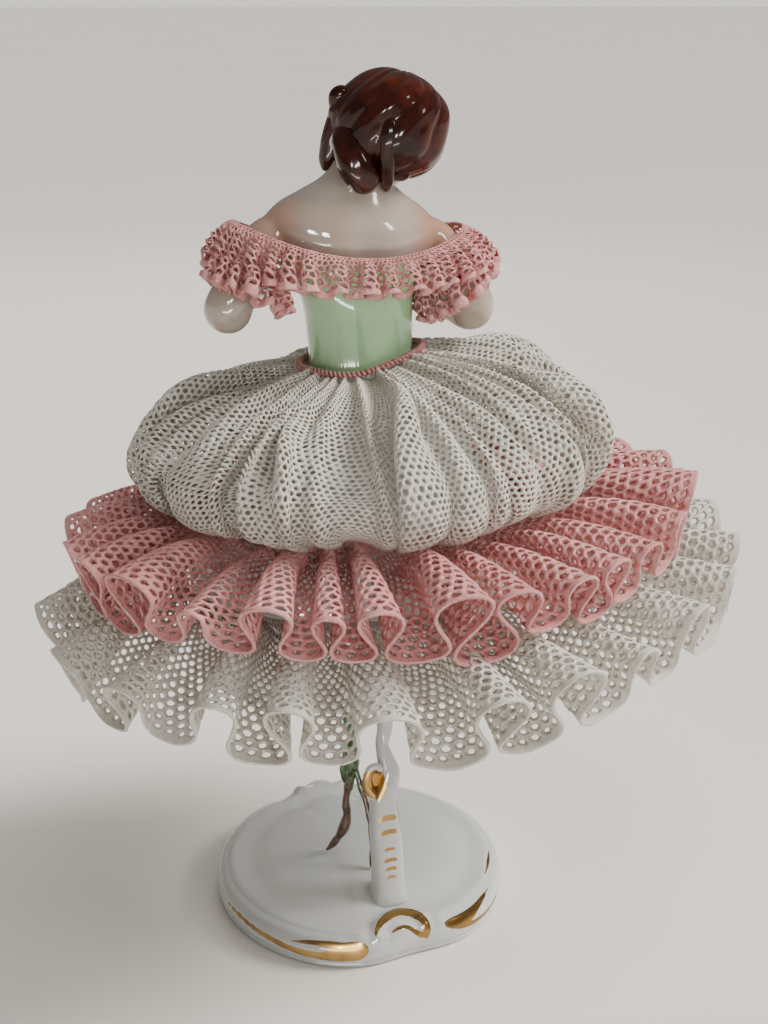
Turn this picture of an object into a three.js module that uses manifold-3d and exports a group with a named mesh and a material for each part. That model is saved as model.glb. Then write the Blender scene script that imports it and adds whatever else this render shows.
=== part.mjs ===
// Porcelain lady in three tiers of lace, carried by one rococo scroll on an oval base.
// Millimetres, +Z up. She faces -Y, her right hand is on the -X side, and the base stands on Z = 0.
import * as THREE from 'three';
import { mergeVertices } from 'three/addons/utils/BufferGeometryUtils.js';
import Module from 'manifold-3d';

const wasm = await Module();
wasm.setup();

// Driving dimensions of the base and the scroll
const baseWidth = 60;
const baseDepth = 61;
const baseRimHeight = 6.4;
const baseDomeRise = 2.8;
const cartoucheWidth = 13;
const cartoucheRise = 1.2;
const cartoucheFlat = 2.2;
const cartoucheSwell = 1.6;
const rimNotch = 1.5;
const scrollHeight = 44;
const scrollWidth = 5.4;
const scrollThickness = 5.2;
const scrollFootSetBack = 15.5;
const scrollTopSetBack = 8;

// Driving dimensions of the lady: her height is from the rim of her underskirt to the top of her hair
const ladyHeight = 112;
const headTurn = 48;
const headNod = 20;
const headTilt = 8;

// Driving dimensions of the lace
const laceThickness = 0.9;
const clearance = 0.35;
const braidRadius = 0.7;
const skirtSwingDirection = 70;
const overskirtWidth = 90;
const overskirtDepth = 79;
const overskirtSwing = 3.6;
const overskirtRise = 1;
const overskirtLift = 1.1;
const overskirtFolds = 26;
const overskirtFoldDepth = 1.5;
const pinkHemWidth = 120;
const pinkHemDepth = 99;
const pinkSwing = 6;
const pinkDrop = 3.2;
const pinkDip = 4;
const pinkDipSpread = 0.7;
const pinkRise = 3;
const pinkFolds = 26;
const pinkFoldDepth = 4;
const whiteHemWidth = 135;
const whiteHemDepth = 102;
const whiteSwing = 9.5;
const whiteDrop = 6.2;
const whiteDip = 6.2;
const whiteDipTurn = 2;
const whiteDipSpread = 0.5;
const whiteRise = 4.4;
const whiteFolds = 20;
const whiteFoldDepth = 3.6;
const collarReach = 8;
const collarFolds = 24;
const collarFoldDepth = 1.1;
const sleeveReach = 2.4;
const sleeveFolds = 12;
const sleeveFoldDepth = 1;

const colours = {
  porcelain: 0xe9ebe6,
  pinkLace: 0xe3a39d,
  whiteLace: 0xdcdcd2,
  braid: 0xcf8f8a,
  leaf: 0x2f5a24,
};

const turn = 2 * Math.PI;

function vector(x, y, z) {
  return new THREE.Vector3(x, y, z);
}

function radians(degrees) {
  return THREE.MathUtils.degToRad(degrees);
}

function bell(distance, spread) {
  return Math.exp(-((distance / spread) ** 2));
}

// A point of an oval ring: angle 0 is straight behind her, a quarter turn is her left side.
function onOval(halfWidth, halfDepth, angle, z) {
  return vector(halfWidth * Math.sin(angle), halfDepth * Math.cos(angle), z);
}

// Closed mesh from points and triangles. One that came out inside out is turned.
function closedMesh(points, triangles) {
  const cross = vector(0, 0, 0);
  let volume = 0;
  for (const [a, b, c] of triangles) {
    volume += points[a].dot(cross.crossVectors(points[b], points[c]));
  }
  const outward = volume < 0 ? triangles.map(([a, b, c]) => [a, c, b]) : triangles;
  const geometry = new THREE.BufferGeometry();
  geometry.setAttribute('position', new THREE.Float32BufferAttribute(points.flatMap((p) => p.toArray()), 3));
  geometry.setIndex(outward.flat());
  geometry.computeVertexNormals();
  return geometry;
}

// The quads between neighbouring sections, each split in two. Sections close on themselves.
function skin(sections, wraps) {
  const sides = sections[0].length;
  const triangles = [];
  const last = wraps ? sections.length : sections.length - 1;
  for (let i = 0; i < last; i += 1) {
    const next = (i + 1) % sections.length;
    for (let j = 0; j < sides; j += 1) {
      const k = (j + 1) % sides;
      triangles.push([i * sides + j, i * sides + k, next * sides + k]);
      triangles.push([i * sides + j, next * sides + k, next * sides + j]);
    }
  }
  return triangles;
}

// A solid through closed sections, each end shut by a fan to its middle.
function loft(sections) {
  const sides = sections[0].length;
  const points = sections.flat();
  const triangles = skin(sections, false);
  for (const [start, reversed] of [[0, false], [(sections.length - 1) * sides, true]]) {
    const middle = vector(0, 0, 0);
    for (let j = 0; j < sides; j += 1) {
      middle.addScaledVector(points[start + j], 1 / sides);
    }
    points.push(middle);
    for (let j = 0; j < sides; j += 1) {
      const k = (j + 1) % sides;
      const fan = [points.length - 1, start + k, start + j];
      triangles.push(reversed ? [fan[0], fan[2], fan[1]] : fan);
    }
  }
  return closedMesh(points, triangles);
}

// A limb, lock or stem: an oval section carried along a smooth path through the given stations.
// Each station is [x, y, z, half width, half height], and side is the section's width direction.
function limb(stations, steps, sides, side) {
  const path = new THREE.CatmullRomCurve3(stations.map(([x, y, z]) => vector(x, y, z)));
  const size = new THREE.CatmullRomCurve3(stations.map(([, , , w, h]) => vector(w, h, 0)));
  const sections = [];
  for (let i = 0; i <= steps; i += 1) {
    const t = i / steps;
    const along = path.getTangent(t);
    const across = side.clone().addScaledVector(along, -side.dot(along)).normalize();
    const up = vector(0, 0, 0).crossVectors(along, across);
    const { x: w, y: h } = size.getPoint(t);
    const middle = path.getPoint(t);
    sections.push(Array.from({ length: sides }, (_, j) => {
      const angle = turn * j / sides;
      return middle.clone()
        .addScaledVector(across, w * Math.cos(angle))
        .addScaledVector(up, h * Math.sin(angle));
    }));
  }
  return loft(sections);
}

function asSolid(geometry) {
  const bare = geometry.clone();
  bare.deleteAttribute('normal');
  bare.deleteAttribute('uv');
  const merged = mergeVertices(bare, 1e-5);
  return new wasm.Manifold(new wasm.Mesh({
    numProp: 3,
    vertProperties: Float32Array.from(merged.attributes.position.array),
    triVerts: Uint32Array.from(merged.index.array),
  }));
}

// Pieces of one casting, joined into one body.
function fuse(geometries) {
  const whole = geometries.map(asSolid).reduce((a, b) => a.add(b));
  const { vertProperties, triVerts } = whole.getMesh();
  const geometry = new THREE.BufferGeometry();
  geometry.setAttribute('position', new THREE.BufferAttribute(Float32Array.from(vertProperties), 3));
  geometry.setIndex(Array.from(triVerts));
  geometry.computeVertexNormals();
  return geometry;
}

// A gathered strip of lace. surface(u, t) is its middle before gathering: u runs once round, and t
// from the seam, 0, to the hem, 1. The folds stand square to that surface, their depth growing with t.
// They crowd together behind her, and lean and curl widen their crests so that they roll at the hem.
function frill({ surface, folds, stepsPerFold, rows, depthAt, crowd, lean, curl }) {
  const count = folds * stepsPerFold;
  const small = 1e-3;
  const sections = [];
  for (let i = 0; i < count; i += 1) {
    const phase = turn * i / stepsPerFold;
    const even = i / count;
    const u = even - crowd * Math.sin(turn * even) / turn;
    const outer = [];
    const inner = [];
    for (const t of rows) {
      const roll = lean * Math.sin(phase) + curl * Math.sin(2 * phase);
      const folded = u + t * (1 - crowd * Math.cos(turn * even)) * roll / folds;
      const middle = surface(folded, t);
      const round = surface(folded + small, t).sub(surface(folded - small, t));
      const down = surface(folded, Math.min(1, t + small)).sub(surface(folded, Math.max(0, t - small)));
      const outward = down.cross(round).normalize();
      const wave = depthAt(t) * Math.cos(phase);
      outer.push(middle.clone().addScaledVector(outward, wave + laceThickness / 2));
      inner.push(middle.clone().addScaledVector(outward, wave - laceThickness / 2));
    }
    sections.push([...outer, ...inner.reverse()]);
  }
  return closedMesh(sections.flat(), skin(sections, true));
}

// Base: an oval dish with a rounded rim, a shallow dome and a shell cartouche front and back.
const baseTop = baseRimHeight + baseDomeRise;

// The rim is drawn in flat at the cartouche behind. In front it swells over the cartouche and draws in
// beside it.
function baseOutline(angle) {
  const fromMiddle = Math.asin(Math.abs(Math.sin(angle))) * baseDepth / 2;
  if (Math.cos(angle) > 0) {
    return 1 - cartoucheFlat * bell(fromMiddle, cartoucheWidth * 0.62) / baseWidth * 2;
  }
  const shell = cartoucheSwell * bell(fromMiddle, cartoucheWidth / 2);
  const notch = rimNotch * bell(fromMiddle - cartoucheWidth * 0.72, cartoucheWidth * 0.2);
  return 1 + (shell - notch) / baseWidth * 2;
}

// Height of the base's upper face at a share of the way out from the middle.
function baseHeight(share, angle) {
  const dome = baseRimHeight + baseDomeRise * Math.cos(share * Math.PI / 2) ** 1.4;
  const fromMiddle = Math.asin(Math.abs(Math.sin(angle))) * share * baseDepth / 2;
  return dome + cartoucheRise * bell(fromMiddle, cartoucheWidth / 2.6) * bell(share - 0.86, 0.12);
}

function makeBase() {
  const sides = 36;
  const rimShares = [[0.93, 0], [0.985, 0.16], [1, 0.45], [0.985, 0.75], [0.945, 0.95]];
  const domeShares = [0.86, 0.74, 0.5, 0.25];
  const ring = (share, heightAt) => Array.from({ length: sides }, (_, j) => {
    const angle = turn * j / sides;
    const reach = share * baseOutline(angle);
    return onOval(baseWidth / 2 * reach, baseDepth / 2 * reach, angle, heightAt(angle));
  });
  return loft([
    ...rimShares.map(([share, height]) => ring(share, () => height * baseRimHeight)),
    ...domeShares.map((share) => ring(share, (angle) => baseHeight(share, angle))),
  ]);
}

// Scroll: one tapering porcelain strap of level ovals. It springs from the base, swells into a volute
// half way up, and flares under the lady's skirt. A curl stands on its side at the volute.
// [share of the rise, set back, width, thickness], the last two as shares of the strap's own
const scrollStations = [
  [0, 1.8, 1.7, 2],
  [0.06, 0.8, 1.12, 1.3],
  [0.22, 0.9, 1.02, 1.05],
  [0.4, 0, 0.86, 0.85],
  [0.51, -1, 0.7, 0.7],
  [0.62, 0.5, 0.92, 1.1],
  [0.76, 0, 0.62, 0.8],
  [0.86, -0.4, 0.8, 0.95],
  [0.94, 0, 1.5, 1.4],
  [1, 0.4, 2.7, 2.3],
];

const scrollSink = 2.6;

function makeScroll() {
  const foot = baseTop - scrollSink;
  const rise = baseTop + scrollHeight - clearance - foot;
  const setBack = (share) => scrollFootSetBack + (scrollTopSetBack - scrollFootSetBack) * share ** 2.2;
  const stations = new THREE.CatmullRomCurve3(scrollStations.map(([share, out, w]) => vector(share, out, w)));
  const thick = new THREE.CatmullRomCurve3(scrollStations.map(([share, , , t]) => vector(share, t, 0)));
  const steps = 14;
  const sides = 10;
  const strap = Array.from({ length: steps + 1 }, (_, i) => {
    const { x: share, y: out, z: width } = stations.getPoint(i / steps);
    const { y: thickness } = thick.getPoint(i / steps);
    return Array.from({ length: sides }, (__, j) => {
      const oval = onOval(scrollWidth / 2 * width, scrollThickness / 2 * thickness, turn * j / sides, 0);
      return oval.add(vector(0, setBack(share) + out, foot + rise * share));
    });
  });
  const curl = limb([
    [scrollWidth * 0.1, scrollFootSetBack - 1.2, foot + rise * 0.5, 1.9, 1.2],
    [scrollWidth * 0.5, scrollFootSetBack - 1.6, foot + rise * 0.53, 1.7, 1.3],
    [scrollWidth * 0.72, scrollFootSetBack - 1.8, foot + rise * 0.59, 1.2, 1.1],
    [scrollWidth * 0.58, scrollFootSetBack - 2, foot + rise * 0.66, 0.7, 0.7],
  ], 5, 6, vector(0, 1, 0));
  return [loft(strap), curl];
}

// Twig: a stem with two feet on the base and a leaf that lies against the scroll.
function makeTwig() {
  const floorAt = (x, y) => {
    const share = Math.hypot(x / (baseWidth / 2), y / (baseDepth / 2));
    return baseHeight(share, Math.atan2(x, y)) + clearance;
  };
  const top = baseTop + scrollHeight - 1.5 * clearance;
  const up = (share) => baseTop + scrollHeight * share;
  const stem = limb([
    [7.4, 0.8, floorAt(7.4, 0.8) + 1, 0.9, 0.7],
    [6, 1.4, up(0.09), 1, 0.9],
    [4.2, 2.2, up(0.28), 1, 1],
    [3.6, 2.6, up(0.55), 1.3, 1.2],
    [3.4, 1.4, up(0.8), 1.2, 1.1],
    [3.4, 0.6, top, 1.5, 1.5],
  ], 10, 5, vector(1, 0, 0));
  const branch = limb([
    [1, 8.2, floorAt(1, 8.2) + 0.9, 0.8, 0.7],
    [1.8, 7, up(0.16), 0.7, 0.7],
    [2.6, 5.4, up(0.3), 0.8, 0.8],
    [3.6, 3.2, up(0.46), 0.8, 0.8],
  ], 6, 5, vector(1, 0, 0));
  const leaf = limb([
    [4.4, 3.6, up(0.32), 0.3, 0.3],
    [4.6, 4.6, up(0.42), 1.5, 0.6],
    [4.2, 4.8, up(0.52), 1.7, 0.6],
    [3.2, 3.8, up(0.66), 0.6, 0.5],
  ], 5, 5, vector(1, 0.5, 0));
  return fuse([stem, branch, leaf]);
}

// Lady: every size below is in hundredths of her height, from the rim of her smooth underskirt up.
const ladyFoot = baseTop + scrollHeight;
const unit = ladyHeight / 100;

// [height, half width, half depth]
const bodySections = [
  [0, 27.2, 22.8],
  [1.4, 28.8, 24.2],
  [11.6, 29.4, 25],
  [23.5, 27.9, 23.4],
  [34, 21.9, 18.4],
  [42, 14.6, 12.2],
  [47.6, 9.8, 8.2],
  [52, 8.7, 7.1],
  [58, 8.9, 7.3],
  [63.4, 9.2, 8],
  [68.8, 10.9, 8.4],
  [72.6, 13.8, 8],
  [75.8, 14.3, 6.8],
  [78.4, 12.3, 5.7],
  [80.8, 8.4, 5],
  [83, 5.5, 4.4],
  [88, 4.2, 4],
];
const waistHeight = 54.3;
const waistShift = -0.8;
const shoulderTilt = 0.06;
const shoulderShift = 0.8;
const neckLean = 4;

// Half width and half depth of her body at a height in hundredths, in millimetres.
function bodyAt(height) {
  const above = bodySections.findIndex(([z]) => z > height);
  const [z0, w0, d0] = bodySections[above - 1];
  const [z1, w1, d1] = bodySections[above];
  const share = (height - z0) / (z1 - z0);
  return { halfWidth: unit * (w0 + (w1 - w0) * share), halfDepth: unit * (d0 + (d1 - d0) * share) };
}

// A place on the lady. Her waist bends to her right, her left shoulder is a little raised and her
// neck leans to her right.
function place(x, y, height) {
  const raised = THREE.MathUtils.smoothstep(height, 58, 74);
  const leaning = THREE.MathUtils.smoothstep(height, 79, 90);
  const bent = bell(height - waistHeight, 13);
  const across = x + waistShift * bent + shoulderShift * raised - neckLean * leaning;
  return vector(unit * across, unit * y, ladyFoot + unit * (height + shoulderTilt * x * raised));
}

function placeStations(stations) {
  return stations.map(([x, y, height, w, h]) => [...place(x, y, height).toArray(), unit * w, unit * h]);
}

function makeTorso() {
  const sides = 22;
  return loft(bodySections.map(([height, halfWidth, halfDepth]) => Array.from({ length: sides }, (_, j) => {
    const angle = turn * j / sides;
    const x = halfWidth * Math.sin(angle);
    const facing = Math.max(0, -Math.cos(angle));
    const bust = 3.2 * bell(Math.abs(x) - 4.6, 3.4) * bell(height - 68.5, 5) * facing;
    const spine = 0.5 * bell(x, 2.2) * bell(height - 70, 8) * Math.max(0, Math.cos(angle));
    return place(x, halfDepth * Math.cos(angle) - bust - spine, height);
  })));
}

// Each elbow's reach to the side and its height. She holds her left arm a little wider.
const elbows = { left: [22, 63.4], right: [-19.2, 61.4] };

function armStations([elbow, elbowHeight]) {
  const side = Math.sign(elbow);
  return placeStations([
    [side * 11.4, 0, 74.2, 3.4, 3],
    [side * 14.6, 0.4, 72.6, 3.5, 3.4],
    [elbow * 0.84, 1.4, 68.4, 3.3, 3.3],
    [elbow, 2, elbowHeight, 3.9, 3.9],
    [elbow * 0.9, -3.6, elbowHeight - 0.6, 3.1, 3.1],
    [elbow * 0.64, -11.6, 61.8, 2.7, 2.8],
    [side * 6.4, -18.8, 62.2, 1.8, 2.2],
    [side * 3.2, -21.4, 62.2, 1.6, 2.6],
    [side * -1, -23.4, 62.4, 0.7, 1.6],
  ]);
}

// Head: an egg with a brow, a nose, lips and a chin pressed out of its front.
const headMiddle = [-3.6, -1, 89.4];
const headPose = new THREE.Euler(radians(headNod), radians(-headTilt), radians(-headTurn), 'ZYX');
const faceForms = [
  [0, -0.14, 0.95, 0.13, 0.2],
  [0, 0.3, 0.35, 0.5, 0.16],
  [0, -0.48, 0.4, 0.2, 0.1],
  [0, -0.8, 0.75, 0.24, 0.16],
];

function onHead(local) {
  return local.applyEuler(headPose).multiplyScalar(unit).add(place(...headMiddle));
}

function makeHead() {
  const rows = 11;
  const sides = 14;
  const sections = [];
  for (let i = 1; i < rows; i += 1) {
    const rise = Math.cos(Math.PI * i / rows);
    const girth = Math.sin(Math.PI * i / rows);
    sections.push(Array.from({ length: sides }, (_, j) => {
      const angle = turn * j / sides;
      const x = Math.sin(angle) * girth;
      const y = Math.cos(angle) * girth;
      const jaw = 1 - 0.2 * Math.max(0, -rise);
      const face = faceForms.reduce((sum, [fx, fz, out, wide, tall]) => (
        sum + out * bell(x - fx, wide) * bell(rise - fz, tall)), 0);
      return onHead(vector(6.4 * x * jaw, 7.6 * y * jaw - (y < 0 ? face : 0), 8.6 * rise));
    }));
  }
  return loft(sections);
}

// Hair: a full cap set back on the head, a roll on the nape, side locks and a curl over the ear.
function makeHair() {
  const cap = new THREE.SphereGeometry(1, 16, 10);
  cap.rotateX(Math.PI / 2);
  cap.scale(9.4, 8.8, 8.6);
  cap.translate(0, 2, 0.8);
  cap.applyMatrix4(new THREE.Matrix4().makeRotationFromEuler(headPose));
  cap.scale(unit, unit, unit);
  const middle = place(...headMiddle);
  cap.translate(middle.x, middle.y, middle.z);
  const locks = [
    [[3, 4, 90, 3, 2.2], [2.6, 6, 87.2, 3.4, 2.6], [0, 7.4, 84.2, 3.2, 2.6], [-3, 7.2, 82.4, 1.9, 1.5]],
    [[-4.4, 6.4, 91, 1.8, 1.5], [-4.2, 7, 86.8, 1.5, 1.4], [-3.8, 6.4, 82.6, 0.9, 0.9]],
    [[5.2, -0.2, 91, 1.5, 1.9], [6, 0.8, 87, 1.4, 1.7], [6.4, 1, 83.4, 0.8, 1]],
  ];
  const strands = locks.map((stations) => limb(placeStations(stations), 5, 7, vector(1, 0, 0)));
  const curl = new THREE.SphereGeometry(1.5 * unit, 8, 6);
  const curlAt = place(5, 0.4, 94.6);
  curl.translate(curlAt.x, curlAt.y, curlAt.z);
  return [cap, curl, ...strands];
}

function makeLady() {
  const arms = [elbows.left, elbows.right].map((elbow) => limb(armStations(elbow), 13, 7, vector(0, 0, 1)));
  return fuse([makeTorso(), ...arms, makeHead(), ...makeHair()]);
}

// Waist: the braid dips to a soft point behind and in front and rises to her right. The overskirt
// hangs from under it.
const waistDip = 1.5;
const waistDipTurn = 20;
const waistDipSpread = 0.6;
const waistTilt = 1.5;
const swingAngle = -radians(skirtSwingDirection);

function waistAt(angle) {
  const tilt = waistTilt * Math.cos(angle - swingAngle);
  const dip = waistDip * bell(Math.sin(angle - radians(waistDipTurn)), waistDipSpread);
  return ladyFoot + unit * waistHeight + tilt - dip;
}

// Her half width and half depth where the braid lies, at its wider edge.
function waistSize(angle) {
  const edges = [-braidRadius, braidRadius].map((off) => bodyAt((waistAt(angle) + off - ladyFoot) / unit));
  return edges[0].halfWidth > edges[1].halfWidth ? edges[0] : edges[1];
}

function makeBraid() {
  const steps = 20;
  const sides = 5;
  const out = braidRadius + 2 * clearance;
  const sections = Array.from({ length: steps }, (_, i) => {
    const angle = turn * i / steps;
    const { halfWidth, halfDepth } = waistSize(angle);
    const middle = onOval(halfWidth + out, halfDepth + out, angle, waistAt(angle));
    middle.x += unit * waistShift;
    const outward = onOval(1, 1, angle, 0);
    return Array.from({ length: sides }, (__, j) => {
      const around = turn * j / sides;
      return middle.clone()
        .addScaledVector(outward, braidRadius * Math.cos(around))
        .add(vector(0, 0, braidRadius * Math.sin(around)));
    });
  });
  return closedMesh(sections.flat(), skin(sections, true));
}

// A skirt tier's middle surface. Its profile runs through [half width, half depth, height] stations,
// it swings towards her right on the way to the hem, and riseAt(angle, t) lifts or drops it.
function tierSurface(stations, swing, riseAt) {
  const profile = new THREE.CatmullRomCurve3(stations.map((station) => vector(...station)));
  const away = onOval(1, 1, swingAngle, 0);
  return (u, t) => {
    const angle = turn * u;
    const { x: halfWidth, y: halfDepth, z } = profile.getPoint(t);
    return onOval(halfWidth, halfDepth, angle, z + riseAt(angle, t)).addScaledVector(away, swing * t);
  };
}

// Seams of the two flounces on the underskirt, in hundredths of her height
const pinkSeam = 29.5;
const whiteSeam = 17.5;
const flounceBow = 0.16;

// A flounce leaves the underskirt at its seam. Its hem falls by the drop, by the dip as well behind
// and in front, and rises on the side that it swings to. dipTurn moves the lowest place to her left.
function flounceSurface({ seam, hemWidth, hemDepth, drop, dip, dipTurn, dipSpread, rise, swing }) {
  const { halfWidth, halfDepth } = bodyAt(seam);
  const off = clearance + laceThickness;
  const bow = flounceBow * drop;
  const start = [halfWidth + off, halfDepth + off, ladyFoot + unit * seam];
  const end = [hemWidth / 2, hemDepth / 2, start[2] - drop];
  const middle = [(start[0] + end[0]) / 2, (start[1] + end[1]) / 2, start[2] - bow];
  const dipAt = (angle) => dip * bell(Math.sin(angle - radians(dipTurn)), dipSpread);
  const riseAt = (angle, t) => t * (rise * Math.cos(angle - swingAngle) - dipAt(angle));
  return tierSurface([start, middle, end], swing, riseAt);
}

function makeFlounce(surface, folds, foldDepth) {
  return frill({
    surface,
    folds,
    stepsPerFold: 5,
    rows: [0, 0.5, 1],
    depthAt: (t) => foldDepth * THREE.MathUtils.smoothstep(t, 0.05, 1),
    crowd: 0.25,
    lean: 0.04,
    curl: 0.1,
  });
}

const pinkSurface = flounceSurface({
  seam: pinkSeam,
  hemWidth: pinkHemWidth,
  hemDepth: pinkHemDepth,
  drop: pinkDrop,
  dip: pinkDip,
  dipTurn: 0,
  dipSpread: pinkDipSpread,
  rise: pinkRise,
  swing: pinkSwing,
});

const whiteSurface = flounceSurface({
  seam: whiteSeam,
  hemWidth: whiteHemWidth,
  hemDepth: whiteHemDepth,
  drop: whiteDrop,
  dip: whiteDip,
  dipTurn: whiteDipTurn,
  dipSpread: whiteDipSpread,
  rise: whiteRise,
  swing: whiteSwing,
});

// Overskirt: puffed out from under the braid and tucked back on to the pink flounce.
// underLip is how far down the pink flounce the lip lies.
const underLip = 0.3;

function makeOverskirt() {
  const { halfWidth, halfDepth } = waistSize(0);
  const out = clearance + laceThickness / 2 + 0.9 * overskirtFoldDepth;
  const seam = ladyFoot + unit * waistHeight - braidRadius - clearance - laceThickness;
  const room = underLip * pinkFoldDepth + 0.6 * overskirtFoldDepth + laceThickness + overskirtLift;
  const lipAt = (angle) => pinkSurface(angle / turn, underLip).z + room;
  const height = seam - lipAt(0);
  const puff = [[0.25, 0.08], [0.4, 0.27], [0.49, 0.57], [0.48, 0.84], [0.4, 1]];
  const stations = [
    [halfWidth + out, halfDepth + out, seam],
    ...puff.map(([share, fall]) => [overskirtWidth * share, overskirtDepth * share, seam - height * fall]),
  ];
  const riseAt = (angle, t) => (
    (waistAt(angle) - ladyFoot - unit * waistHeight) * (1 - t)
    + overskirtRise * Math.sin(Math.PI * t) * Math.cos(angle - swingAngle)
    + (lipAt(angle) - lipAt(0)) * t ** 2);
  const surface = tierSurface(stations, overskirtSwing, riseAt);
  return frill({
    surface: (u, t) => surface(u, t).add(vector(unit * waistShift * (1 - t), 0, 0)),
    folds: overskirtFolds,
    stepsPerFold: 3,
    rows: [0, 0.2, 0.4, 0.6, 0.8, 1],
    depthAt: (t) => overskirtFoldDepth * (0.35 + 0.65 * Math.sin(Math.PI * Math.min(1, t * 1.1 + 0.1))),
    crowd: 0,
    lean: 0,
    curl: 0,
  });
}

// Collar: a deep lace frill round the bare shoulders, lower behind and in front than at the arms.
// Its seam goes out over the arms, and its height is in hundredths of her height.
const armWidth = 18.2;
const collarSeam = 71.4;

function collarSurface(u, t) {
  const angle = turn * u;
  const side = Math.sin(angle) ** 2;
  const behind = Math.cos(angle) > 0;
  const off = (clearance + laceThickness / 2) / unit;
  const chest = bodyAt(72).halfDepth / unit + off + (behind ? 0.4 : 3);
  const seam = onOval(armWidth + off, chest, angle, 0);
  const seamHeight = collarSeam + 4.4 * side;
  const outward = onOval(1, 0.75, angle, 0);
  const reach = collarReach / unit * (0.42 + 0.3 * side) * Math.sin(t * Math.PI / 2);
  const drop = collarReach / unit * (0.75 - 0.3 * side) * t * t;
  return place(seam.x + outward.x * reach, seam.y + outward.y * reach, seamHeight - drop);
}

function makeCollar() {
  return frill({
    surface: collarSurface,
    folds: collarFolds,
    stepsPerFold: 3,
    rows: [0, 0.5, 1],
    depthAt: (t) => collarFoldDepth * THREE.MathUtils.smoothstep(t, 0.05, 1),
    crowd: 0,
    lean: 0.04,
    curl: 0,
  });
}

// Sleeve: a short frill round the upper arm, its hem just above the elbow, shorter over the forearm.
// It starts and runs in the arm's own stations, where 2 is above and 3 is at the elbow.
const sleeveStart = 1.97;
const sleeveRun = 0.7;
const sleeveRing = [3.6, 0.3];

function makeSleeve(elbow) {
  const stations = armStations(elbow);
  const arm = new THREE.CatmullRomCurve3(stations.map(([x, y, z]) => vector(x, y, z)));
  const inward = vector(-Math.sign(elbow[0]), 0, 0);
  const surface = (u, t) => {
    const angle = turn * u;
    const front = Math.max(0, -Math.cos(angle));
    const at = (sleeveStart + sleeveRun * (1 - front) * t) / (stations.length - 1);
    const along = arm.getTangent(at);
    const back = vector(0, 1, 0).addScaledVector(along, -along.y).normalize();
    const across = vector(0, 0, 0).crossVectors(along, back);
    const armRadius = unit * (sleeveRing[0] + sleeveRing[1] * t);
    const radius = armRadius + clearance + laceThickness / 2 + sleeveReach * t;
    return arm.getPoint(at)
      .addScaledVector(across, radius * Math.sin(angle))
      .addScaledVector(back, radius * Math.cos(angle))
      .addScaledVector(inward, t);
  };
  return frill({
    surface,
    folds: sleeveFolds,
    stepsPerFold: 3,
    rows: [0, 1],
    depthAt: (t) => sleeveFoldDepth * t,
    crowd: 0,
    lean: 0.04,
    curl: 0,
  });
}

function piece(name, geometry, color, roughness) {
  const mesh = new THREE.Mesh(geometry, new THREE.MeshStandardMaterial({ color, roughness, metalness: 0 }));
  mesh.name = name;
  return mesh;
}

const group = new THREE.Group();
group.add(
  piece('rococo_base', fuse([makeBase(), ...makeScroll()]), colours.porcelain, 0.12),
  piece('leafy_twig', makeTwig(), colours.leaf, 0.25),
  piece('lady', makeLady(), colours.porcelain, 0.12),
  piece('overskirt', makeOverskirt(), colours.whiteLace, 0.45),
  piece('pink_flounce', makeFlounce(pinkSurface, pinkFolds, pinkFoldDepth), colours.pinkLace, 0.45),
  piece('white_flounce', makeFlounce(whiteSurface, whiteFolds, whiteFoldDepth), colours.whiteLace, 0.45),
  piece('waist_braid', makeBraid(), colours.braid, 0.4),
  piece('lace_collar', makeCollar(), colours.pinkLace, 0.45),
  piece('left_sleeve_frill', makeSleeve(elbows.left), colours.pinkLace, 0.45),
  piece('right_sleeve_frill', makeSleeve(elbows.right), colours.pinkLace, 0.45),
);

export default group;
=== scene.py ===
"""Porcelain lady in three tiers of lace, carried by one rococo scroll on an oval base.

The sums are in millimetres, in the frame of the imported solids: +Z up, she faces -Y, and her right
hand is on the -X side. A mesh is turned into metres as it is made.
"""

import bpy
import numpy as np
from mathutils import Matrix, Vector


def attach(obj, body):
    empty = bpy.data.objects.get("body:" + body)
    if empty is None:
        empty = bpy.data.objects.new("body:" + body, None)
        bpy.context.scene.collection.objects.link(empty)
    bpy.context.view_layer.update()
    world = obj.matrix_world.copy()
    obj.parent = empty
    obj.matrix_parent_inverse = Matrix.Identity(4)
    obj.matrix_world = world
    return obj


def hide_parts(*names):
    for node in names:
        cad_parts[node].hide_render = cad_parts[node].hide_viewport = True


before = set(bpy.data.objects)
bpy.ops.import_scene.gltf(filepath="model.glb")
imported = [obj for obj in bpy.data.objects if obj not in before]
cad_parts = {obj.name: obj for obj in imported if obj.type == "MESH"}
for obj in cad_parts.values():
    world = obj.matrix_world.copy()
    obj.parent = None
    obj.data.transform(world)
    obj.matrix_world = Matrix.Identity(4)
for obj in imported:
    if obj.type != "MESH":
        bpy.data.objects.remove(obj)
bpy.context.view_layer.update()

MM = 0.001
TURN = 2 * np.pi

# Room: a plain pale floor and soft panels of light. The camera stands behind her, a little to her left
# and above, as far away as in the photograph.
camera_turn = np.radians(20)
camera_fall = np.radians(20)
camera_reach = 253
camera_rise = 175
camera_aside = 5.2
camera_lens = 49.2
light_aim = 100
panel_light = (1.0, 0.98, 0.95)
day_light = (1.0, 0.975, 0.94)
wall_light = (1.0, 0.97, 0.93, 1)
floor_width = 120000
floor_colour = (0.90, 0.865, 0.81, 1)
floor_shade = (0.88, 0.84, 0.78, 1)


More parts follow.
